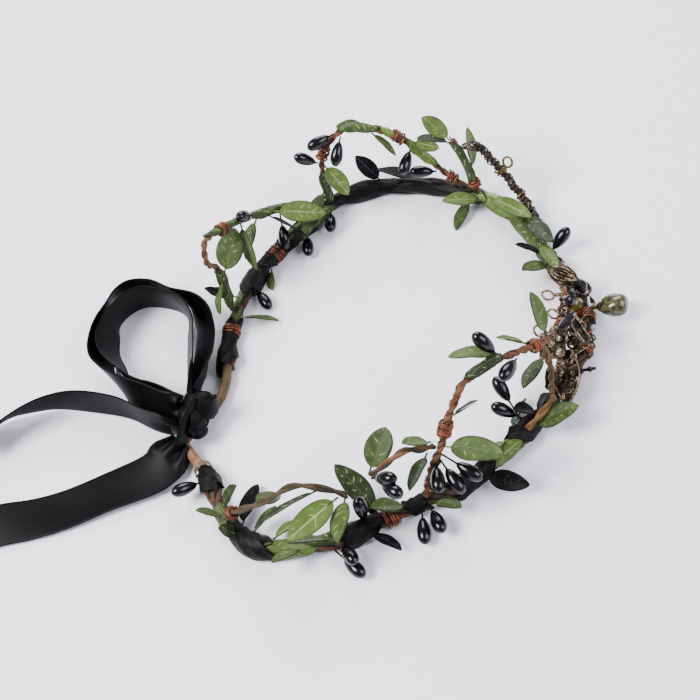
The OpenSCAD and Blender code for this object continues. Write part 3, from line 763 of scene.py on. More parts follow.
@dataclass(frozen=True)
class CopperWire(Finish):
    """Lacquered copper wire, drawn thin."""

    bright: str
    dull: str

    def paint(self, tree: Tree) -> dict[str, object]:
        """The lacquer dims the copper to a red brown that shines softly where the wire curves."""
        tarnish = add(tree, "TexNoise", {0: add(tree, "TexCoord")["Object"], "Scale": 1000 / 2.5, "Detail": 3.0})[0]
        return {
            "Base Color": add(tree, "ValToRGB", (tarnish,), {0.36: self.dull, 0.64: self.bright})[0],
            "Metallic": 0.5, "Roughness": weighed(tree, 0.3, (tarnish, 0.3))}


@dataclass(frozen=True)
class LeafCloth(Finish):
    """Starched polyester leaf cloth, printed with its veins."""

    blade: str
    light: str
    vein: str
    gloss: float = 0.5
    vein_share: float = 0.6
    skin: float = 0.25

    def paint(self, tree: Tree) -> dict[str, object]:
        """Pale broken side veins and a midrib, pressed dark or printed pale, on a mottled blade with a fine weave.

        Args:
            tree: The material's node tree.

        Returns:
            What the shader's inputs get, by name.
        """
        uv = add(tree, "SeparateXYZ", (add(tree, "UVMap")[0],))
        spot = add(tree, "TexCoord")["Object"]
        shade = add(tree, "Attribute", attribute_name="shade")["Fac"]
        side = add(tree, "Math", (uv[0],), operation="ABSOLUTE")[0]
        blots = add(tree, "TexNoise", {0: spot, "Scale": 1000 / 3.0, "Detail": 4.0})[0]
        weave = add(tree, "TexNoise", {0: spot, "Scale": 1000 / 0.4, "Detail": 1.0})[0]
        lanes = add(tree, "Math", (weighed(tree, 0.0, (side, -1.3), (uv[1], 6.5)),), operation="FRACT")[0]
        lane = add(tree, "Math", (weighed(tree, -0.5, (lanes, 1.0)),), operation="ABSOLUTE")[0]
        line, inner, broken, middle, edge, printed = (
            add(tree, "MapRange", values)[0] for values in (
                (lane, 0.05, 0.11, 1.0, 0.0), (side, 0.45, 0.8, 1.0, 0.0), (blots, 0.5, 0.58, 0.0, 1.0),
                (side, 0.03, 0.09, 1.0, 0.0), (side, 0.82, 1.0, 0.0, 0.25), (shade, 0.72, 0.88, 0.0, 1.0)))
        for part in (inner, broken):
            line = add(tree, "Math", (line, part), operation="MULTIPLY")[0]
        veins = weighed(tree, 0.0, (add(tree, "Math", (line, middle), operation="MAXIMUM")[0], self.vein_share))
        tone = weighed(tree, -0.15, (blots, 0.6), (shade, 0.7), (edge, -1.0))
        base = add(tree, "ValToRGB", (tone,), {0.2: self.blade, 0.85: self.light})[0]
        rib, vein = linear(self.blade), linear(self.vein)
        rib = add(tree, "Mix", {0: printed, 6: rib, 7: vein}, data_type="RGBA")[2]
        tint = add(tree, "Mix", {0: middle, 6: vein, 7: rib}, data_type="RGBA")[2]
        height = weighed(tree, 0.0, (weave, 0.3), (veins, -0.8))
        return {
            "Base Color": add(tree, "Mix", {0: veins, 6: base, 7: tint}, data_type="RGBA")[2],
            "Roughness": self.gloss, "Specular IOR Level": self.skin,
            "Normal": add(tree, "Bump", {"Strength": 0.6, "Distance": 0.3 * MM, "Height": height})[0]}


@dataclass(frozen=True)
class Lacquer(Finish):
    """Dipped lacquer over a foam berry."""

    colour: str

    def paint(self, tree: Tree) -> dict[str, object]:
        """A deep black with a wet coat and the faint dimples of the foam."""
        dimples = add(tree, "TexNoise", {0: add(tree, "TexCoord")["Object"], "Scale": 1000 / 1.6, "Detail": 2.0})[0]
        return {
            "Base Color": linear(self.colour), "Roughness": weighed(tree, 0.1, (dimples, 0.2)),
            "Specular IOR Level": 0.25, "Coat Weight": 0.25, "Coat Roughness": 0.05,
            "Normal": add(tree, "Bump", {"Strength": 0.25, "Distance": 0.12 * MM, "Height": dimples})[0]}


@dataclass(frozen=True)
class Satin(Finish):
    """Polyester satin ribbon, woven."""

    deep: str
    light: str
    thread_mm: float = 0.5
    skin: float = 0.09

    def paint(self, tree: Tree) -> dict[str, object]:
        """Long floats of thread give a soft grey light along the folds; threads are drawn coarser than real.

        Args:
            tree: The material's node tree.

        Returns:
            What the shader's inputs get, by name.
        """
        floats = add(tree, "Mapping", {0: add(tree, "UVMap")[0], 3: (RIBBON_W / self.thread_mm, 6.0, 1.0)})[0]
        ends = add(tree, "TexNoise", {0: floats, "Scale": 1.0, "Detail": 2.0})[0]
        blots = add(tree, "TexNoise", {0: add(tree, "TexCoord")["Object"], "Scale": 1000 / 14.0, "Detail": 2.0})[0]
        tone = weighed(tree, 0.0, (ends, 0.6), (blots, 0.4))
        return {
            "Base Color": add(tree, "ValToRGB", (tone,), {0.3: self.deep, 0.7: self.light})[0],
            "Roughness": weighed(tree, 0.4, (ends, 0.12)), "Specular IOR Level": self.skin,
            "Normal": add(tree, "Bump", {"Strength": 0.3, "Distance": 0.1 * MM, "Height": ends})[0]}


@dataclass(frozen=True)
class AgedMetal(Finish):
    """Cast or drawn metal with an aged, rubbed patina."""

    hollow: str
    body: str
    worn: str
    grain_mm: float
    relief: float
    metallic: float = 0.85

    def paint(self, tree: Tree) -> dict[str, object]:
        """Brown-black hollows between rubbed grey-beige ridges.

        Args:
            tree: The material's node tree.

        Returns:
            What the shader's inputs get, by name.
        """
        grain = {0: add(tree, "TexCoord")["Object"], "Scale": 1000 / self.grain_mm}
        cast = add(tree, "TexNoise", {**grain, "Detail": 4.0, "Distortion": 1.2})[0]
        pits = add(tree, "TexVoronoi", grain)["Distance"]
        tone = weighed(tree, 0.0, (cast, 0.7), (pits, 0.35))
        return {
            "Base Color": add(tree, "ValToRGB", (tone,), {0.36: self.hollow, 0.58: self.body, 0.82: self.worn})[0],
            "Metallic": self.metallic, "Roughness": weighed(tree, 0.66, (cast, -0.4)),
            "Normal": add(tree, "Bump", {"Strength": self.relief, "Distance": 0.4 * MM, "Height": tone})[0]}


@dataclass(frozen=True)
class Stone(Finish):
    """A polished or cloudy stone, or pressed glass."""

    deep: str
    cloud: str
    grain_mm: float
    clear: float
    gloss: float

    def paint(self, tree: Tree) -> dict[str, object]:
        """Cloudy swirls under a polished skin; the clear ones let the light through."""
        swirl = add(tree, "TexNoise", {
            0: add(tree, "TexCoord")["Object"], "Scale": 1000 / self.grain_mm, "Detail": 3.0, "Distortion": 2.0})[0]
        return {
            "Base Color": add(tree, "ValToRGB", (swirl,), {0.35: self.deep, 0.68: self.cloud})[0],
            "Roughness": weighed(tree, self.gloss, (swirl, 0.15)), "IOR": 1.52,
            "Transmission Weight": self.clear, "Coat Weight": 0.2}


@dataclass(frozen=True)
class StudioPaper(Finish):
    """A sweep of matt white card."""

    colour: str

    def paint(self, tree: Tree) -> dict[str, object]:
        """An even pale ground with the faintest tooth."""
        tooth = add(tree, "TexNoise", {0: add(tree, "TexCoord")["Object"], "Scale": 1000 / 1.5, "Detail": 2.0})[0]
        return {
            "Base Color": linear(self.colour), "Roughness": 0.85,
            "Normal": add(tree, "Bump", {"Strength": 0.05, "Distance": 0.1 * MM, "Height": tooth})[0]}


BARK = PaperTape("bark_crepe_tape", "#0c0806", "#2b1d15", "#58432f")
STEM_TAPE = PaperTape("stem_crepe_tape", "#1a100a", "#4a3421", "#745539")
RED_TAPE = PaperTape("red_brown_crepe_tape", "#20100a", "#512d1c", "#7c5036")
PINK_TAPE = PaperTape("pink_brown_crepe_tape", "#3c261a", "#734f3a", "#9c765b", 0.7)
OLIVE_TAPE = PaperTape("olive_brown_crepe_tape", "#1e160e", "#443522", "#665236", 0.7)
STUB_TAPE = PaperTape("tan_crepe_tape", "#382212", "#74512d", "#9e7846")
TWIG_TAPE = PaperTape("dark_twig_tape", "#080504", "#231812", "#4c3a2c", 0.8)
STALK_GREEN = PaperTape("green_stalk_tape", "#222c10", "#454f20", "#6c7840", 0.4)
STALK_BLACK = PaperTape("black_stalk_tape", "#060506", "#100e0f", "#2a2826", 0.4)
COPPER = CopperWire("lacquered_copper_wire", "#8a4a2e", "#2a130a")
ORANGE_COPPER = CopperWire("bright_lacquered_copper_wire", "#a4572a", "#45200e")
GREEN_CLOTH = LeafCloth("green_leaf_cloth", "#19260d", "#4d6327", "#a8ac78")
BLACK_CLOTH = LeafCloth("black_leaf_cloth", "#030304", "#0a0a0c", "#4a4d54", vein_share=0.45, skin=0.1)
BLACK_WRAP = LeafCloth("black_leaf_cloth_bound", "#040303", "#110d0b", "#221f1e", vein_share=0.3, skin=0.12)
BERRY_LACQUER = Lacquer("black_berry_lacquer", "#040406")
BLACK_SATIN = Satin("black_ribbon_satin", "#030304", "#09090b")
# Duller, darker copy of the ribbon satin for the upper tail: its lower shine stands for the dull back of satin, and
# its darker thread colour is painted shade
SATIN_BACK_PAINTED_SHADE = Satin("black_ribbon_satin_back_painted_shade", "#030304", "#070709", skin=0.03)
BRONZE = AgedMetal("aged_bronze_casting", "#080503", "#261b13", "#7b6852", 1.3, 0.9)
BRONZE_WIRE = AgedMetal("rubbed_bronze_wire", "#2a2018", "#806e56", "#d8c8a8", 1.2, 0.3, 0.8)
DARK_BRONZE = AgedMetal("dark_bronze_bar", "#070504", "#1d1713", "#5b5042", 1.6, 0.4, 0.7)
SILVER = AgedMetal("aged_silver_bezel", "#16130f", "#5b544a", "#c2bbad", 1.2, 0.25, 0.9)
BRASS = AgedMetal("rubbed_brass_ring", "#2b2012", "#6c5632", "#b89f6c", 0.9, 0.25, 0.9)
DARK_STONE = Stone("dark_polished_stone", "#040304", "#171318", 2.5, 0.0, 0.1)
OLIVE_GLASS = Stone("olive_swirl_glass", "#1a180b", "#585439", 4.0, 0.05, 0.06)
AMBER = Stone("cloudy_amber_stone", "#6e3a16", "#b0793f", 2.8, 0.1, 0.14)
OLIVE_STONE = Stone("cloudy_olive_stone", "#3a3412", "#857834", 2.6, 0.2, 0.08)
RED_STONE = Stone("red_brown_stone", "#1e0b06", "#5c2c1e", 1.6, 0.0, 0.2)
PEARL = Stone("clear_white_bead", "#a9a7a4", "#f2f1ee", 1.5, 0.3, 0.06)
STUDIO_PAPER = StudioPaper("pale_studio_card", "#f6f5fd")


# ---------------------------------------------------------------- sub-assemblies


@dataclass(frozen=True)
class WireBundle:
    """Taped wires twisted round a route, which stand for one CAD node."""

    node: str
    route: Route
    finishes: tuple[Finish, ...]
    slot: Slot = Slot.STEM
    first: float = 0.0
    last: float = 100.0
    strands: int = 2
    strand_r: float = 0.85
    full: float = 1.5
    pitch: float = 11.0
    core: float = 0.0
    thread: float = 0.0
    thread_r: float = 0.28
    wire: Finish = COPPER

    def radius(self, at: float) -> float:
        """Returns the radius of the whole bundle at a place."""
        return self.route.radius(at) + self.full - ARCH_R

    def strand(self, places: list[float], reach: float, start: float, pitch: float) -> list[Vector]:
        """Follows one strand of the twist.

        Args:
            places: Places on the route.
            reach: Distance of the strand's middle inside the bundle's skin.
            start: Angle that it starts at, in degrees.
            pitch: Length of one turn of the twist.

        Returns:
            The points of its middle.
        """
        line, run, last = [], 0.0, self.route.point(places[0])
        for at in places:
            centre = self.route.point(at)
            run += (centre - last).length
            last = centre
            angle = math.radians(start) + math.tau * run / pitch
            line.append(self.route.beside(at, angle, max(self.radius(at) - reach, 0.0)))
        return line

    def lay(self, work: MeshWork) -> None:
        """Sweeps the core, each strand and the thread.

        Args:
            work: Mesh to add to.
        """
        places = self.route.stations(self.first, self.last, min(max(self.pitch / 9, 1.0), 2.0))
        if self.core:
            line = [self.route.point(at) for at in places]
            work.tube(line, [max(self.radius(at) - self.core, 0.4) for at in places], 10, 0, 0.2)
        for k in range(self.strands):
            thick = self.strand_r * (0.9 + 0.2 * steady(k, self.pitch))
            line = self.strand(places, thick, 360 * k / self.strands + 20 * steady(k, 3), self.pitch)
            radii = [thick * (0.94 + 0.12 * steady(i // 3, k)) for i in range(len(line))]
            work.tube(line, radii, 10, k % len(self.finishes), 0.3 + 0.45 * steady(k, self.pitch, 5))
        if self.thread:
            for start in (40, 220):
                work.tube(self.strand(places, 0.1, start, self.thread), self.thread_r, 6, len(self.finishes))

    def build(self) -> bpy.types.Object:
        """Makes the twist.

        Returns:
            The bundle's piece.
        """
        work = MeshWork()
        self.lay(work)
        return work.finish(f"{self.node}_wires", (*self.finishes, self.wire), self.slot, self.node)


@dataclass(frozen=True)
class HoopBundle(WireBundle):
    """The hoop: a thick twist whose two ends run out in one smooth taped wire, up to the tie."""

    end_r: float = 2.25
    # Ends: first place, last place, points past the last place
    ends: tuple = (
        (-156, -174, ((-9.6, 89.4, 5.2), (-9.0, 87.0, 7.5))), (158, 180, ((-0.5, 79.5, 7.0),)))

    def build(self) -> bpy.types.Object:
        """Makes the twist and its two smooth ends.

        Returns:
            The hoop's piece.
        """
        work = MeshWork()
        self.lay(work)
        for k, (first, last, tip) in enumerate(self.ends):
            line = [self.route.point(at) for at in self.route.stations(first, last, 1.5)] + [Vector(p) for p in tip]
            radii = [self.end_r - 0.25 * i / len(line) + 0.08 * math.sin(i * 0.9) for i in range(len(line))]
            work.tube(line, radii, 14, len(self.finishes) + 1 + k, 0.6)
        finishes = (*self.finishes, self.wire, PINK_TAPE, OLIVE_TAPE)
        return work.finish(f"{self.node}_wires", finishes, self.slot, self.node)


@dataclass(frozen=True)
class WrappedLeaves:
    """Cloth leaves bound flat round the hoop and the stems, so that they follow them like a sleeve."""

    name: str
    rows: Rows
    cloth: Finish
    slot: Slot
    plies: int = 1
    thickness: float = 0.35

    def wrap(self, work: MeshWork, row: list, number: int, ply: int) -> None:
        """Wraps one leaf.

        Args:
            work: Mesh to add to.
            row: Route, first and last place, angle round it from straight out, half the arc.
            number: Number of the leaf in its table.
            ply: Number of the leaf among those wound side by side.
        """
        route, (first, last, lean, arc) = Route(row[0]), row[1:]
        wind = 50 * (steady(number, 7) - 0.5)
        raised = 0.35 + 0.2 * steady(number, 2) + 0.25 * ply
        if self.plies > 1:
            hand = 1 if number % 2 else -1
            reach = 0.14 * (last - first)
            first, last = first - reach * (1 - ply) * 0.6, last + reach * ply
            lean, arc, wind = lean + (ply - 0.5) * 0.85 * arc, 0.66 * arc, hand * (75 + 40 * steady(number, ply))

        def cloth(x: float, s: float) -> Vector:
            """Finds a point of the leaf.

            Args:
                x: Place across it, from -1 to 1.
                s: Place along it, from 0 to 1.

            Returns:
                The point.
            """
            at = first + (last - first) * s
            full = min(1.0, 0.05 + 1.15 * math.sin(math.pi * min(max(s, 0.0), 1.0)) ** 0.9)
            ripple = 0.14 * math.sin(9 * s + 4 * x + number) + 0.12 * math.sin(17 * s - 7 * x + 2 * number)
            if self.plies > 1:
                ripple += 0.28 * (1 - abs(math.sin(3.1 * x + 6 * s + number))) ** 2
            angle = math.radians(lean + wind * (s - 0.5) + arc * full * x)
            return route.beside(at, angle, route.radius(at) + raised + ripple + 0.5 * abs(x) ** 3)

        length = (route.point(last) - route.point(first)).length
        work.sheet(14, max(10, round(length)), self.thickness, cloth, steady(number, first, 9))

    def build(self) -> bpy.types.Object:
        """Wraps all the leaves of the table.

        Returns:
            The leaves' piece.
        """
        work = MeshWork()
        for number, row in enumerate(self.rows):
            for ply in range(self.plies):
                self.wrap(work, row, number, ply)
        return work.finish(self.name, (self.cloth,), self.slot)


def wind(work: MeshWork, route: Route, at: float, turns: int, finish: int = 0, pitch: float = 1.1) -> None:
    """Winds a wire round a stem or the hoop at one place.

    Args:
        work: Mesh to add to.
        route: Stem or hoop that it goes round.
        at: Place on it.
        turns: Turns of the wire in the part's source.
        finish: Number of its finish.
        pitch: Pitch of the turns.
    """
    turns = max(3, round(turns * (COPPER_D_HOOP if route.name == "hoop" else COPPER_D) / pitch))
    reach = route.radius(at) + GAP + 0.15 + 0.45 * pitch
    spot, steps = turned_to(route.point(at), route.way(at)), 18
    points = []
    for i in range(turns * steps + 1):
        a = math.tau * i / steps
        r = reach + 0.22 * pitch * math.sin(a * 0.37 + at)
        z = pitch * (i / steps - turns / 2 + 0.16 * math.sin(0.41 * a + 2 * at)) * 1.04
        points.append(spot @ Vector((r * math.cos(a), r * math.sin(a), z)))
    points.append(spot @ Vector((reach * 0.75, -reach * 0.3, pitch * (turns / 2 + 0.4))))
    work.tube(points, 0.42 * pitch, 8, finish)


@dataclass(frozen=True)
class Windings:
    """Turns of copper wire wound round the stems, which stand for one CAD node."""

    node: str
    rows: Rows

    def build(self) -> bpy.types.Object:
        """Winds all the places of the table.

        Returns:
            The windings' piece.
        """
        work = MeshWork()
        for name, at, turns in self.rows:
            wind(work, Route(name), at, turns)
        return work.finish(f"{self.node}_copper", (COPPER,), Slot.COPPER, self.node)


@dataclass(frozen=True)
class LeafSpray:
    """Cloth leaves on wire stalks, which stand for one CAD node."""

    node: str
    rows: Rows
    cloth: Finish
    stalk: Finish
    slot: Slot
    thickness: float = 0.45
    # Share of the length that is bare stalk, and the radius of the midrib at its foot
    bare: float = 0.09
    rib_r: float = 0.42

    def half_width(self, width: float, s: float) -> float:
        """Returns half the width of a leaf at a place from 0 at its foot to 1 at its tip."""
        t = min(max((s - self.bare) / (1 - self.bare), 0.0), 1.0)
        return max(width * LEAF_FULL / 2 * t**0.62 * (1 - t) ** 0.72 / 0.3965, 0.12)

    def leaf(self, work: MeshWork, row: list, number: int) -> None:
        """Makes one leaf with its stalk and midrib.

        Args:
            work: Mesh to add to.
            row: Stem, place, aim, climb, roll, length and width.
            number: Number of the leaf in its table.
        """
        route, (at, aim, climb, roll, length, width) = Route(row[0]), row[1:]
        turn = route.turn(at)
        way = aim_vector(turn, aim, climb)
        a, r = math.radians(aim), math.radians(roll)
        side = -math.sin(a) * outward(turn) + math.cos(a) * onward(turn)
        across = math.cos(r) * side + math.sin(r) * way.cross(side)
        face = way.cross(across)
        lift = -1.0 if face.z < 0 else 1.0
        foot = route.foot(at, way, STALK_D / 2)
        luck = [steady(number, length, aim, k) for k in range(5)]
        phase, ruffle = math.tau * luck[0], 0.02 + 0.03 * luck[1]

        def middle(s: float) -> Vector:
            """Returns the point of the midrib at a place from 0 to 1."""
            return foot + way * (length * s) - face * (lift * LEAF_DROOP * length * s * s)

        def blade(x: float, t: float) -> Vector:
            """Finds a point of the blade.

            Args:
                x: Place across it, from -1 to 1.
                t: Place along it, from 0 to 1.

            Returns:
                The point.
            """
            s = self.bare + (1 - self.bare) * t
            half = self.half_width(width, s)
            rise = lift * LEAF_FOLD * half * (math.sqrt(x * x + 0.01) - 0.1)
            wave = ruffle * width * x * abs(x) * math.sin(3.2 * math.pi * s + phase + (1.3 if x > 0 else 0.0))
            twist = (luck[2] - 0.5) * 0.5 * s * x * half
            return middle(s) + across * (x * half) + face * (rise + wave + twist)

        work.sheet(10, 22, self.thickness, blade, luck[3])
        line = [middle(0.92 * k / 11) - face * (lift * 0.35 * min(k / 3, 1)) for k in range(12)]
        radii = [self.rib_r - 0.028 * k for k in range(12)]
        work.tube([foot - way * 0.5, *line], [0.45, *radii], 6, 1, luck[4])

    def build(self) -> bpy.types.Object:
        """Makes all the leaves of the table.

        Returns:
            The spray's piece.
        """
        work = MeshWork()
        for number, row in enumerate(self.rows):
            self.leaf(work, row, number)
        return work.finish(f"{self.node}_cloth", (self.cloth, self.stalk), self.slot, self.node)


@dataclass(frozen=True)
class BerryBunch:
    """Lacquered drop berries on thin stalks, which stand for one CAD node."""

    node: str
    rows: Rows
    stalk_radii: tuple = (0.42, 0.4, 0.38, 0.4, 0.44, 0.3)

    def profile(self) -> list[tuple[float, float]]:
        """Draws the outline of a berry, narrow at its stalk end and full near its far end.

        Returns:
            Radius and height of each point, with the stalk end at height 0.
        """
        steps = 18
        points = [(0.0, -0.25), (0.42, -0.2)]
        for i in range(1, steps):
            a = math.pi * i / steps
            full = math.sin(a) * (1 - 0.2 * math.cos(a)) / 1.02
            points.append((max(BERRY_D / 2 * full, 0.45), BERRY_L / 2 * (1 - math.cos(a))))
        return [*points, (0.5, BERRY_L - 0.02), (0.0, BERRY_L - 0.12)]

    def build(self) -> bpy.types.Object:
        """Spins all the berries of the table.

        Returns:
            The bunch's piece.
        """
        work = MeshWork()
        for name, at, aim, climb, length in self.rows:
            route = Route(name)
            way = aim_vector(route.turn(at), aim, climb)
            foot = route.foot(at, way, STALK_D / 2)
            stalk = length - BERRY_L
            work.turned(self.profile(), 28, turned_to(foot + way * stalk, way))
            reaches = (-0.4, stalk / 4, stalk / 2, stalk * 3 / 4, stalk, stalk + 0.9)
            work.tube([foot + way * reach for reach in reaches], self.stalk_radii, 7, 1, 0.4)
        return work.finish(f"{self.node}_lacquered", (BERRY_LACQUER, STALK_BLACK), Slot.BERRY, self.node)


@dataclass(frozen=True)
class RibbonStrip:
    """A length of satin ribbon, laid in a loop or a tail, which stands for one CAD node."""

    node: str
    rows: Table
    length: float
    rests_on: tuple[str, ...] = ("ribbon_knot_satin",)
    thickness: float = 0.5
    pleats: int = 5
    deepest: float = 2.4
    spread: float = 1.3
    face: Satin = BLACK_SATIN

    def middle(self, s: float) -> Vector:
        """Returns the middle of the ribbon at a place from 0 to 1."""
        return Vector(along(self.rows, s)[:3])

    def point(self, x: float, s: float) -> Vector:
        """Finds a point of the ribbon.

        Args:
            x: Place across it, from -1 to 1.
            s: Place along it, from 0 to 1.

        Returns:
            The point, with the pleats that gather it where it is narrow.
        """
        row = along(self.rows, s)
        way = (self.middle(s + 0.01) - self.middle(s - 0.01)).normalized()
        right = way.cross(UP).normalized()
        lean = math.radians(row[3])
        wide = math.cos(lean) * right.cross(way) + math.sin(lean) * right
        share = min(row[4] * self.spread, 1.0)
        half = RIBBON_W / 2 * share
        slope = math.sqrt(max(1 / max(share, 0.3) ** 2 - 1, 0.0))
        pleat = 0.5 * min(slope * 2 * half / self.pleats, self.deepest)
        fold = pleat * math.cos(math.pi * self.pleats * (x + 1) / 2)
        soft = 0.25 * math.sin(9.0 * s + 2.2 * x) * math.sin(math.pi * min(max(s, 0.0), 1.0))
        return self.middle(s) + wide * (x * half) + way.cross(wide) * (fold + soft)

    def build(self) -> bpy.types.Object:
        """Makes the strip.

        Returns:
            The ribbon's piece.
        """
        work = MeshWork()
        work.sheet(24, max(40, round(self.length / 1.6)), self.thickness, self.point)
        piece = work.finish(f"{self.node}_satin", (self.face,), Slot.SATIN, self.node)
        return piece


@dataclass(frozen=True)
class RibbonKnot:
    """The pleated lobes of the knot, with the bands that tie them and the folds that run out of it."""

    node: str = "ribbon_knot"
    # Lobes: middle and radius
    lobes: tuple = ((0.0, 80.0, 12.0, 6.6), (-4.0, 84.0, 11.0, 5.9), (-9.0, 84.0, 9.0, 4.9))
    # Bands: way of the axis, half width, height over the lobe
    bands: tuple = (((0.75, -0.3, 0.6), 4.6, 0.15), ((-0.35, 0.75, 0.55), 3.6, 0.45), ((0.5, 0.6, -0.6), 3.0, 0.3))
    # Folds: half width, points of the middle
    folds: tuple = (
        (4.2, ((-1, 79, 18), (-5, 82, 17.5), (-9, 86, 15), (-12, 89, 12), (-15, 92, 9.5))),
        (3.4, ((-5, 86, 12), (-9, 88, 8.5), (-12, 90, 7.5), (-15, 94, 8))),
        (3.4, ((-3, 82, 10), (-6, 86, 9), (-8, 90, 9), (-6, 94, 9.5))),
        (4.4, ((2, 80, 14), (1, 85, 14), (1, 89, 13.5))))
    flat: float = 0.2

    def pleat(self, p: Vector, k: int) -> Vector:
        """Gathers a lobe into pleats.

        Args:
            p: Point of the unit ball.
            k: Number of the lobe.

        Returns:
            The moved point.
        """
        a = math.atan2(p.z, p.y)
        creases = 0.05 * math.sin(3 * a + 2.1 * p.x + 2 * k) - 0.09 * max(0.0, math.sin(2 * a + k)) ** 6
        return Vector((p.x * (0.94 + 0.1 * math.sin(2 * a)), p.y * (1 + creases), p.z * (0.86 + creases)))

    def build(self) -> bpy.types.Object:
        """Swells the lobes and lays the bands and folds over them.

        Returns:
            The knot's piece.
        """
        work = MeshWork()
        for k, (*centre, size) in enumerate(self.lobes):
            tilt = Matrix.Rotation(0.5 - 0.45 * k, 4, "Z") @ Matrix.Rotation(0.3 * k, 4, "Y")
            work.ball(size, Matrix.Translation(centre) @ tilt, lambda p: self.pleat(p, k))
        for k, (way, wide, over) in enumerate(self.bands):
            *centre, size = self.lobes[min(k, 1)]
            axis = Vector(way).normalized()
            spot, steps = turned_to(Vector(centre), axis), 48
            line = curl(spot, size + over, steps, lambda f: 1.4 * math.sin(2 * math.tau * f + k))
            radii = [wide * (0.82 + 0.18 * math.sin(math.tau * n / steps + k)) for n in range(steps + 1)]
            work.tube(line, radii, 18, squash=self.flat, lean=axis)
        for wide, points in self.folds:
            work.tube([Vector(along(points, n / 16)) for n in range(17)], wide, 14, squash=self.flat, lean=UP)
        return work.finish(f"{self.node}_satin", (BLACK_SATIN,), Slot.SATIN, self.node)


@dataclass(frozen=True)
class FrontOrnament:
    """The pierced bronze front with its stones: the CAD pieces, dressed, and the wire and beads laid on them."""

    hoop: Route = Route("hoop")
    crest: Route = Route("crest")
    # Drop: turn of its post, half length, half width, distance from the hoop, thickness as a share of its width
    drop_at: float = -2.0
    drop_half: float = 5.5
    drop_wide: float = 5.5
    drop_clear: float = 3.6
    drop_flat: float = 0.78
    # Wires laid on the plates: height over the plate's foot, height in the openings, radius of the scrolls' wire,
    # of the rim's, of the loose ones and of the bar's
    top: float = PLATE_T + 0.1
    sunk: float = 0.5
    wire_r: float = 0.33
    rim_r: float = 0.35
    loose_r: float = 0.3
    bar_r: float = 0.32
    # Scrolls: place along and across the plate, radius, angle of the start in degrees, hand
    leaf_scrolls: tuple = (
        (3.2, 2.6, 1.5, 0, 1), (3.4, -2.7, 1.4, 90, -1), (7.4, 3.6, 1.6, 200, 1), (7.2, -3.6, 1.5, 30, -1),
        (11.8, 3.3, 1.6, 160, 1), (11.9, -3.3, 1.5, 320, -1), (16.4, 1.4, 1.5, 40, 1), (18.8, -0.9, 1.2, 250, -1))
    square_scrolls: tuple = (
        (-4.0, 3.8, 1.5, 0, 1), (3.9, 4.1, 1.5, 180, -1), (-4.1, -3.9, 1.5, 60, -1), (4.0, -4.0, 1.4, 300, 1),
        (0.0, 0.1, 1.3, 90, 1))
    # Openings of the lower leaf: place along and across it, diameter
    bores: tuple = ((5, 1.8, 2), (5, -1.8, 2), (9.5, 2.4, 2.8), (9.5, -2.2, 2.6), (14, 1.8, 2.2), (14, -1.8, 2))
    # Rim of the lower leaf: share of its length, share of its greatest half width
    rim: tuple = ((0, 0.3), (0.2, 0.75), (0.45, 1.0), (0.7, 0.75), (1.0, 0.05))
    # Rings round the white bead: place from the bead, way of the axis, radius, radius of the wire, finish
    rings: tuple = (
        (0, 0, 0, -0.6, -0.1, 0.8, 2.1, 0.45, 4), (1.5, -1.0, 4.5, -0.5, -0.4, 0.8, 2.4, 0.4, 0),
        (4.5, 0.5, 5.5, -0.6, 0.3, 0.7, 2.0, 0.45, 4), (-3.0, -2.5, 6.0, -0.7, -0.2, 0.7, 2.2, 0.4, 0),
        (-5.5, -1.0, 8.0, -0.5, 0.1, 0.85, 1.8, 0.4, 0), (-3.5, 0.0, 1.0, -0.6, 0.1, 0.8, 2.3, 0.42, 4),
        (-7.0, 0.6, 1.5, -0.5, 0.2, 0.8, 2.2, 0.4, 0), (-6.0, -3.0, 0.5, -0.6, -0.3, 0.8, 2.1, 0.42, 4),
        (-9.5, -1.6, 2.5, -0.6, 0.1, 0.8, 2.2, 0.4, 0), (-2.0, 1.6, 1.6, -0.6, 0.2, 0.8, 2.4, 0.55, 4),
        (-5.0, 2.2, 2.2, -0.5, 0.3, 0.8, 2.5, 0.5, 0), (-8.0, 2.6, 2.4, -0.6, 0.1, 0.8, 2.3, 0.55, 4),
        (-4.5, -1.6, 2.8, -0.6, -0.2, 0.8, 2.5, 0.5, 0), (-1.0, -0.6, 3.2, -0.5, -0.1, 0.85, 2.2, 0.5, 4),
        (3.5, 3.0, 6.5, -0.6, 0.2, 0.8, 2.2, 0.42, 4), (0.5, 4.0, 8.5, -0.6, 0.3, 0.8, 2.0, 0.38, 0),
        (-1.5, -4.5, 3.0, -0.4, -0.5, 0.8, 2.0, 0.4, 4))
    # Red-brown beads at the foot of the upper leaf: places on the hoop
    beads: tuple = (19, 16.5, 14.5, 12.5, 9)
    # Windings: route, place, turns, finish, pitch
    coils: tuple = (
        ("hoop", -4, 7, 2, 1.1), ("crest", 30, 4, 3, 1.1), ("crest", 86, 4, 2, 1.1), ("hoop", -163.2, 3, 0, 0.6))

    def plate(self, name: str) -> Matrix:
        """Finds where a plate lies.

        Args:
            name: Name of the plate.

        Returns:
            The matrix that takes the plate's own axes to its place.
        """
        turn, out, up, tilt = PLATES[name]
        spot = axes(-onward(turn), outward(turn), UP, place(turn, out, up))
        for angle, axis in zip(reversed(tilt), "ZYX"):
            spot = spot @ Matrix.Rotation(math.radians(angle), 4, axis)
        return spot

    def drop(self) -> bpy.types.Object:
        """Shapes the olive glass drop, a full swirled form that stands clear of its cap.

        Returns:
            The drop's piece.
        """
        half, way = self.drop_half, aim_vector(self.drop_at, -20, 15)
        foot = self.hoop.foot(self.drop_at, way, STALK_D / 2)
        spot = turned_to(foot, way) @ Matrix.Translation((0, 0, self.drop_clear + half))

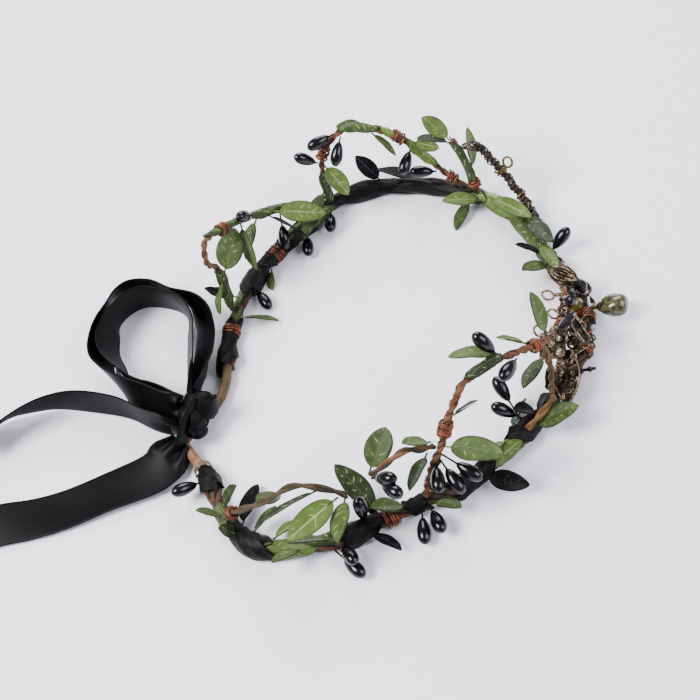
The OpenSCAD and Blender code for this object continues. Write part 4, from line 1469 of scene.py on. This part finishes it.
        def glass(p: Vector) -> Vector:
            """Swirls the glass.

            Args:
                p: Point of the unit ball.

            Returns:
                The moved point.
            """
            across = math.hypot(p.x, p.y)
            if across < 1e-6:
                return Vector((0, 0, half * p.z))
            swirl = 1 + 0.06 * math.cos(3 * math.atan2(p.y, p.x) + 2.2 * p.z)
            full = self.drop_wide * across ** 0.58 * (0.92 + 0.08 * p.z) * swirl
            return Vector((p.x / across * full, self.drop_flat * p.y / across * full, half * p.z))

        work = MeshWork()
        work.ball(1.0, spot, glass)
        return work.finish("front_drop_swirled", (OLIVE_GLASS,), Slot.OLIVE, "front_drop")

    def scrolls(self, work: MeshWork) -> None:
        """Lays the spirals on the lower leaf and on the square plate, and smaller ones in their openings.

        Args:
            work: Mesh to add to.
        """
        lower, square = self.plate("leaf_lower"), self.plate("scroll")
        rows = [(lower, x, y, self.top, *rest) for x, y, *rest in self.leaf_scrolls]
        rows += [(square, x, y, self.top, *rest) for x, y, *rest in self.square_scrolls]
        for k, (x, y, bore) in enumerate(self.bores):
            rows.append((lower, x, y, self.sunk, 0.5 * bore, 70 * k, 1 - 2 * (k % 2)))
        for k in range(4):
            x, y = 2.7 - 5.4 * (k % 2), 2.7 - 5.4 * (k // 2)
            rows.append((square, x, y, self.sunk, 1.45, 95 * k, 1 - 2 * (k % 2)))
        steps, turns, shrink = 33, 1.6, 0.78
        radii = [self.wire_r * (1.05 - 0.3 * i / steps) for i in range(steps + 1)]
        for plate, x, y, z, reach, start, hand in rows:
            spot, span = plate @ Matrix.Translation((x, y, z)), hand * turns * math.tau
            work.tube(curl(spot, reach, steps, lambda f: 0.25 * f, span, math.radians(start), shrink), radii, 7)

    def rim_width(self, t: float) -> float:
        """Returns the half width of the lower leaf's rim at a place from 0 to 1, as a share of its largest."""
        (low, a), (high, b) = next(pair for pair in zip(self.rim, self.rim[1:]) if t <= pair[1][0])
        return a + (b - a) * (t - low) / (high - low)

    def edges(self, work: MeshWork) -> None:
        """Lays the ribs of the upper leaf, the rim of the lower one and the two wires of the bar.

        Args:
            work: Mesh to add to.
        """
        upper, lower, bar = (self.plate(name) for name in ("leaf_upper", "leaf_lower", "bar"))
        places = [k / 24 for k in range(25)]
        radii = [0.4 * (1 - 0.4 * t) for t in places]
        for reach in (-1.5, -3.0, 1.5, 3.0):
            work.tube([
                upper @ Vector((1 + 12.5 * t, reach * math.sin(math.pi * (0.12 + 0.88 * t)), self.top + 0.2))
                for t in places], radii, 7)
        for half in (5.3, -5.3):
            rim = [lower @ Vector((23 * k / 30, half * self.rim_width(k / 30), self.top)) for k in range(31)]
            work.tube(rim, self.rim_r, 7)
        for side in (-1.4, 1.4):
            work.tube([bar @ Vector((x, side, 1.75)) for x in (-7.1, -3.5, 0.0, 3.5, 7.1)], self.bar_r)

    def trim(self, work: MeshWork) -> None:
        """Sets the red-brown beads, winds the coils and hangs the rings round the white bead.

        Args:
            work: Mesh to add to.
        """
        for k, at in enumerate(self.beads):
            off = aim_vector(at, 0, 70 + 25 * (k % 2)) * (self.hoop.radius(at) + 0.9)
            spot = Matrix.Translation(self.hoop.point(at) + off)
            work.ball(1.5 + 0.5 * steady(k, 4), spot, lambda p: p * (1 + 0.12 * math.sin(4 * p.x + 5 * p.y + k)), 1)
        for name, at, turns, finish, pitch in self.coils:
            wind(work, Route(name), at, turns, finish, pitch)
        way = aim_vector(-9, 180, 20)
        bead = self.hoop.foot(-9, way, STALK_D / 2) + way * 1.5
        for k, (*off_and_way, size, wire, finish) in enumerate(self.rings):
            spot = turned_to(bead + Vector(off_and_way[:3]), Vector(off_and_way[3:]).normalized())
            work.tube(curl(spot, size, 26, lambda f: 0.8 * f, 1.5 * math.tau, k, 0.45), wire, 8, finish)

    def tangle(self, work: MeshWork, route: Route, first: float, last: float, count: int) -> None:
        """Lays small loops and grains of wire on the upper side of a stem.

        Args:
            work: Mesh to add to.
            route: Stem that they lie on.
            first: First place on it.
            last: Last place on it.
            count: How many loops.
        """
        for k in range(count):
            at = first + (last - first) * (k + steady(k, 21)) / count
            way = aim_vector(route.turn(at), 0, 165 - 160 * steady(k, 22))
            spot = turned_to(route.point(at) + way * (route.radius(at) + 0.5 + 0.5 * steady(k, 24)), way)
            line = curl(spot, 1.0 + 0.9 * steady(k, 23), 20, lambda f: 0.35 * math.sin(18 * f), 8.4, k, 0.5)
            work.tube(line, self.loose_r, 6, (0, 4, 0, 4, 2)[k % 5])
            if k % 2:
                grain = spot @ Matrix.Translation((0, 0, 0.2))
                work.ball(0.75 + 0.4 * steady(k, 25), grain, lambda p: p, (4, 0)[k % 4 // 2], 12)

    def runners(self, work: MeshWork) -> None:
        """Leads seven loose wires along the hoop under the plates.

        Args:
            work: Mesh to add to.
        """
        steps = 26
        for k in range(7):
            first, last = -26 + 5.4 * k + 4 * steady(k, 1), -14 + 5.0 * k + 6 * steady(k, 2)
            line = []
            for i in range(steps + 1):
                at = first + (last - first) * i / steps
                a = math.radians(-150 + 100 * steady(k, 3) + (150 + 90 * steady(k, 5)) * (i / steps - 0.4))
                reach = self.hoop.radius(at) + 0.7 + 1.3 * math.sin(math.pi * i / steps)
                line.append(self.hoop.point(at) + (outward(at) * math.cos(a) + UP * abs(math.sin(a))) * reach)
            work.tube(line, self.loose_r, 7, (0, 3, 0, 2)[k % 4])

    def build(self) -> bpy.types.Object:
        """Dresses the CAD nodes, shapes the drop and lays the wires and beads.

        Returns:
            The piece of the wires and beads.
        """
        for finish, nodes in DRESSED.items():
            for node in nodes:
                dress(node, finish)
        self.drop()
        work = MeshWork()
        self.scrolls(work)
        self.edges(work)
        self.trim(work)
        self.tangle(work, self.hoop, -25, 23, 44)
        self.tangle(work, self.crest, 10, 97, 30)
        self.runners(work)
        finishes = (BRONZE_WIRE, RED_STONE, COPPER, ORANGE_COPPER, DARK_BRONZE)
        return work.finish("front_wire_scrolls", finishes, Slot.BRONZE)


@dataclass(frozen=True)
class SideTwig:
    """The ribbed twig at the far side of the front, with its curled tip."""

    node: str = "side_twig"
    route: Route = Route("side_twig")
    # Radii: how far the core lies inside the twig's own, the rib, the thread over it, the wire of the loops and
    # of the rings, the curls of the head; pitches of the rib and of the thread
    core_in: float = 0.55
    rib_r: float = 0.62
    thread_r: float = 0.3
    loop_r: float = 0.34
    ring_r: float = 0.42
    head_r: float = 2.1
    rib_pitch: float = 2.3
    thread_pitch: float = 9.0
    # Bright rings: place on the twig, radius
    rings: tuple = ((57, 2.55), (59, 2.6), (36, 2.4))

    def build(self) -> bpy.types.Object:
        """Sweeps the twig as a dark core wound with a ribbed spiral.

        Returns:
            The twig's piece.
        """
        work, route = MeshWork(), self.route
        work.tube([route.point(at) for at in route.stations(0, 100, 0.9)], TWIG_R - self.core_in, 12, 0, 0.2)
        bundle = WireBundle(self.node, route, (TWIG_TAPE,), Slot.TWIG, full=ARCH_R)
        fine = route.stations(0, 100, 0.35)
        work.tube(bundle.strand(fine, 0.5, 0, self.rib_pitch), self.rib_r, 7, 0, 0.62)
        work.tube(bundle.strand(fine, -0.1, 90, self.thread_pitch), self.thread_r, 6, 1)
        for k in range(7):
            off = Vector((1.3 * math.cos(2.4 * k), 1.3 * math.sin(2.4 * k), 0.25 * k - 0.5))
            tilt = Matrix.Rotation(1.1 * k, 4, "X") @ Matrix.Rotation(0.7 * k, 4, "Y")
            spot = Matrix.Translation(route.point(100) + off) @ tilt
            work.tube(curl(spot, self.head_r, 20, lambda f: 0.12 * math.tau * f), self.ring_r, 7, 1)
        for k in range(22):
            at = 4 + 4.1 * k
            way = aim_vector(route.turn(at), 360 * steady(k, 31), 70 * steady(k, 32) - 10)
            spot = turned_to(route.point(at) + way * 1.5, way)
            line = curl(spot, 1.0 + 0.8 * steady(k, 33), 16, lambda f: 0.3 * math.sin(2 * math.tau * f))
            work.tube(line, self.loop_r, 6, (0, 3, 0, 1)[k % 4], 0.4)
        for at, size in self.rings:
            spot = turned_to(route.point(at), route.way(at))
            work.tube(curl(spot, size, 24, lambda f: 0.3 * math.sin(math.tau * f + at)), self.ring_r, 8, 2)
        return work.finish("side_twig_ribbed", (TWIG_TAPE, SILVER, BRASS, BRONZE_WIRE), Slot.TWIG, self.node)


@dataclass(frozen=True)
class Studio:
    """The pale floor, the soft lights and the camera, in metres."""

    # Square lights that look at the crown: name, place, side, watts, colour
    lights: tuple = (
        ("key", (-0.1, 0.7, 1.0), 0.6, 30.0, "#ffffff"), ("fill", (-0.5, -0.9, 0.8), 0.8, 16.0, "#f4f6ff"),
        ("back", (0.9, -0.2, 0.7), 0.7, 14.0, "#ffffff"))
    sky: str = "#eef0fd"
    sky_strength: float = 0.45
    floor_half: float = 4.0
    lens_mm: float = 60.017
    # Camera: the ways of its right side, its top and its back, and its place
    camera: tuple = (
        (-0.16313, -0.9543, -0.25041), (0.77779, -0.28054, 0.56243), (-0.60698, -0.10302, 0.78801),
        (-0.28828, -0.036238, 0.394005))

    def link(self, name: str, data: bpy.types.ID) -> bpy.types.Object:
        """Adds an object to the scene.

        Args:
            name: Name of the object.
            data: Its mesh, light or camera.

        Returns:
            The object.
        """
        made = bpy.data.objects.new(name, data)
        bpy.context.scene.collection.objects.link(made)
        return made

    def build(self) -> None:
        """Lays the floor, hangs the lights and sets the camera."""
        bm = bmesh.new()
        bmesh.ops.create_grid(bm, x_segments=2, y_segments=2, size=self.floor_half)
        mesh = bpy.data.meshes.new("floor")
        bm.to_mesh(mesh)
        bm.free()
        mesh.materials.append(STUDIO_PAPER.material())
        self.link("floor", mesh)
        for name, at, side, watts, colour in self.lights:
            lamp = bpy.data.lights.new(name, "AREA")
            lamp.shape, lamp.size, lamp.energy, lamp.color = "SQUARE", side, watts, linear(colour)[:3]
            thing = self.link(name, lamp)
            thing.location = at
            thing.rotation_euler = Vector(at).to_track_quat("Z", "Y").to_euler()
        world = bpy.data.worlds.new("studio")
        world.use_nodes = True
        back = world.node_tree.nodes["Background"].inputs
        back[0].default_value, back[1].default_value = linear(self.sky), self.sky_strength
        bpy.context.scene.world = world
        lens = bpy.data.cameras.new("camera")
        lens.lens, lens.sensor_width, lens.clip_start = self.lens_mm, 36.0, 0.01
        view = self.link("camera", lens)
        view.matrix_world = axes(*map(Vector, self.camera))
        bpy.context.scene.camera = view


DRESSED = {
    BRONZE: ("front_leaf_upper", "front_leaf_lower", "front_scroll"),
    BRONZE_WIRE: ("front_ring", "front_coil_inner", "front_coil_outer"),
    BRASS: ("side_ring", "front_drop_cap"),
    DARK_BRONZE: ("front_bar", "front_tip"),
    SILVER: ("front_bezel",),
    DARK_STONE: ("front_cabochon", "front_bead_dark", "front_bead_leaf"),
    OLIVE_STONE: ("front_nugget",),
    AMBER: ("front_pod",),
    PEARL: ("front_bead_white",),
}


def dress(node: str, finish: Finish) -> None:
    """Gives a CAD node's object its finish.

    Args:
        node: Name of the node.
        finish: Its finish.
    """
    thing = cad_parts[node]
    if not thing.material_slots:
        thing.data.materials.append(finish.material())
    for slot in thing.material_slots:
        slot.material = finish.material()


PARTS = (
    HoopBundle(
        "hoop", Route("hoop"), (BARK, STEM_TAPE, BARK, RED_TAPE), Slot.BARK, first=-160, last=162, strands=5,
        strand_r=1.15, full=1.4, pitch=30.0, core=0.9),
    WireBundle("arch_back_far", Route("back_far"), (STEM_TAPE,), pitch=9.0),
    WireBundle("arch_side_far", Route("side_far"), (STEM_TAPE, RED_TAPE), pitch=10.0),
    WireBundle("stem_front_far", Route("front_far"), (STEM_TAPE,), pitch=9.0),
    WireBundle("arch_front_near", Route("front_near"), (RED_TAPE, STEM_TAPE), pitch=8.0, thread=13.0),
    WireBundle("arch_back_near", Route("back_near"), (OLIVE_TAPE,), pitch=30.0),
    WireBundle("branch_front_near", Route("branch"), (STEM_TAPE, OLIVE_TAPE), pitch=16.0),
    WireBundle("twig_front_near", Route("twig"), (OLIVE_TAPE, STEM_TAPE), pitch=8.0),
    WireBundle("crest_front", Route("crest"), (BARK, BARK), pitch=8.0, thread=6.0, wire=BRONZE_WIRE),
    WireBundle("stub_front_near", Route("stub"), (STUB_TAPE,), Slot.STUB, pitch=18.0),
    WrappedLeaves("wrapped_leaves_green", WRAPPED_GREEN, GREEN_CLOTH, Slot.GREEN),
    WrappedLeaves("wrapped_leaves_black", WRAPPED_BLACK, BLACK_WRAP, Slot.BLACK, plies=2),
    *(Windings(node, rows) for node, rows in WRAPS.items()),
    *(LeafSpray(node, rows, GREEN_CLOTH, STALK_GREEN, Slot.GREEN) for node, rows in GREEN_LEAVES.items()),
    *(LeafSpray(node, rows, BLACK_CLOTH, STALK_BLACK, Slot.BLACK) for node, rows in BLACK_LEAVES.items()),
    *(BerryBunch(node, rows) for node, rows in BERRIES.items()),
    RibbonStrip("ribbon_loop_outer", LOOP_OUTER, 186),
    RibbonStrip("ribbon_loop_inner", LOOP_INNER, 164),
    # The upper tail takes the darker satin copy, whose darker thread colour is painted shade
    RibbonStrip("ribbon_tail_upper", TAIL_UPPER, 108, face=SATIN_BACK_PAINTED_SHADE),
    RibbonStrip("ribbon_tail_lower", TAIL_LOWER, 101, spread=1.1),
    RibbonKnot(), FrontOrnament(), SideTwig(), Studio(),
)


def main() -> None:
    """Builds the crown's pieces in order, then the studio."""
    logging.basicConfig(level=logging.INFO, format="%(relativeCreated)d ms %(name)s %(message)s")
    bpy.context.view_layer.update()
    for part in PARTS:
        part.build()


if __name__ == "__main__":
    main()
